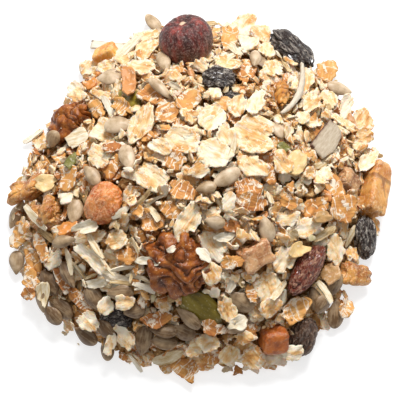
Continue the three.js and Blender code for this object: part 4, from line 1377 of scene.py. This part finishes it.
FLOOR_SIZE = 3000.0
FLOOR_SHADE = 0.4
FLOOR_GLOW = 0.7
LAMP_DISTANCE = 1300.0
Lamp = namedtuple("Lamp", "name direction size watts")
LAMPS = [Lamp("key", (0.14, 0.6, 0.79), 360, 19), Lamp("fill", (-0.1, 0.3, 0.95), 1400, 5)]
SKY_STRENGTH = 0.27


def add_floor():
    corners = np.array([(-1, -1, 0), (1, -1, 0), (1, 1, 0), (-1, 1, 0)]) * FLOOR_SIZE / 2
    mesh = bpy.data.meshes.new("table")
    mesh.from_pydata([tuple(corner * MM) for corner in corners], [], [(0, 1, 2, 3)])
    shader = Shader("white_table", Roughness=0.6, Specular_IOR_Level=0.2)
    shader.surface.inputs["Base Color"].default_value = (FLOOR_SHADE, FLOOR_SHADE, FLOOR_SHADE, 1)
    shader.surface.inputs["Emission Color"].default_value = (1, 1, 1, 1)
    shader.surface.inputs["Emission Strength"].default_value = FLOOR_GLOW
    mesh.materials.append(shader.material)
    floor = bpy.data.objects.new("table", mesh)
    bpy.context.scene.collection.objects.link(floor)


def add_light():
    for name, direction, size, watts in LAMPS:
        data = bpy.data.lights.new(name, "AREA")
        data.size = size * MM
        data.energy = watts
        lamp = bpy.data.objects.new(name, data)
        direction = unit(np.array(direction))
        lamp.location = direction * LAMP_DISTANCE * MM
        lamp.rotation_euler = (-math.acos(direction[2]), 0, -math.atan2(direction[0], direction[1]))
        bpy.context.scene.collection.objects.link(lamp)
    world = bpy.data.worlds.new("studio")
    world.use_nodes = True
    world.node_tree.nodes["Background"].inputs["Strength"].default_value = SKY_STRENGTH
    world.node_tree.nodes["Background"].inputs["Color"].default_value = (1, 1, 1, 1)
    bpy.context.scene.world = world


def add_camera():
    image_middle = IMAGE_WIDTH / 2
    aim_x = SHIFT[0] + (image_middle - MOUND_PIXEL[0]) / PIXELS_PER_MM
    aim_y = SHIFT[1] - (image_middle - MOUND_PIXEL[1]) / PIXELS_PER_MM / TO_CAMERA[2]
    lens = bpy.data.cameras.new("camera")
    lens.sensor_width = SENSOR
    lens.lens = SENSOR * CAMERA_DISTANCE * PIXELS_PER_MM / IMAGE_WIDTH
    camera = bpy.data.objects.new("camera", lens)
    camera.location = (np.array([aim_x, aim_y, 0]) + TO_CAMERA * CAMERA_DISTANCE) * MM
    camera.rotation_euler = (math.pi / 2 - CAMERA_ELEVATION, 0, 0)
    bpy.context.scene.collection.objects.link(camera)
    bpy.context.scene.camera = camera


add_camera()
add_light()
add_floor()
fill_heap()
shaded_core = core_shade_material()
add_core(shaded_core)
add_small_pieces(shaded_core)
add_toppings()
bpy.context.scene.view_settings.view_transform = "Standard"
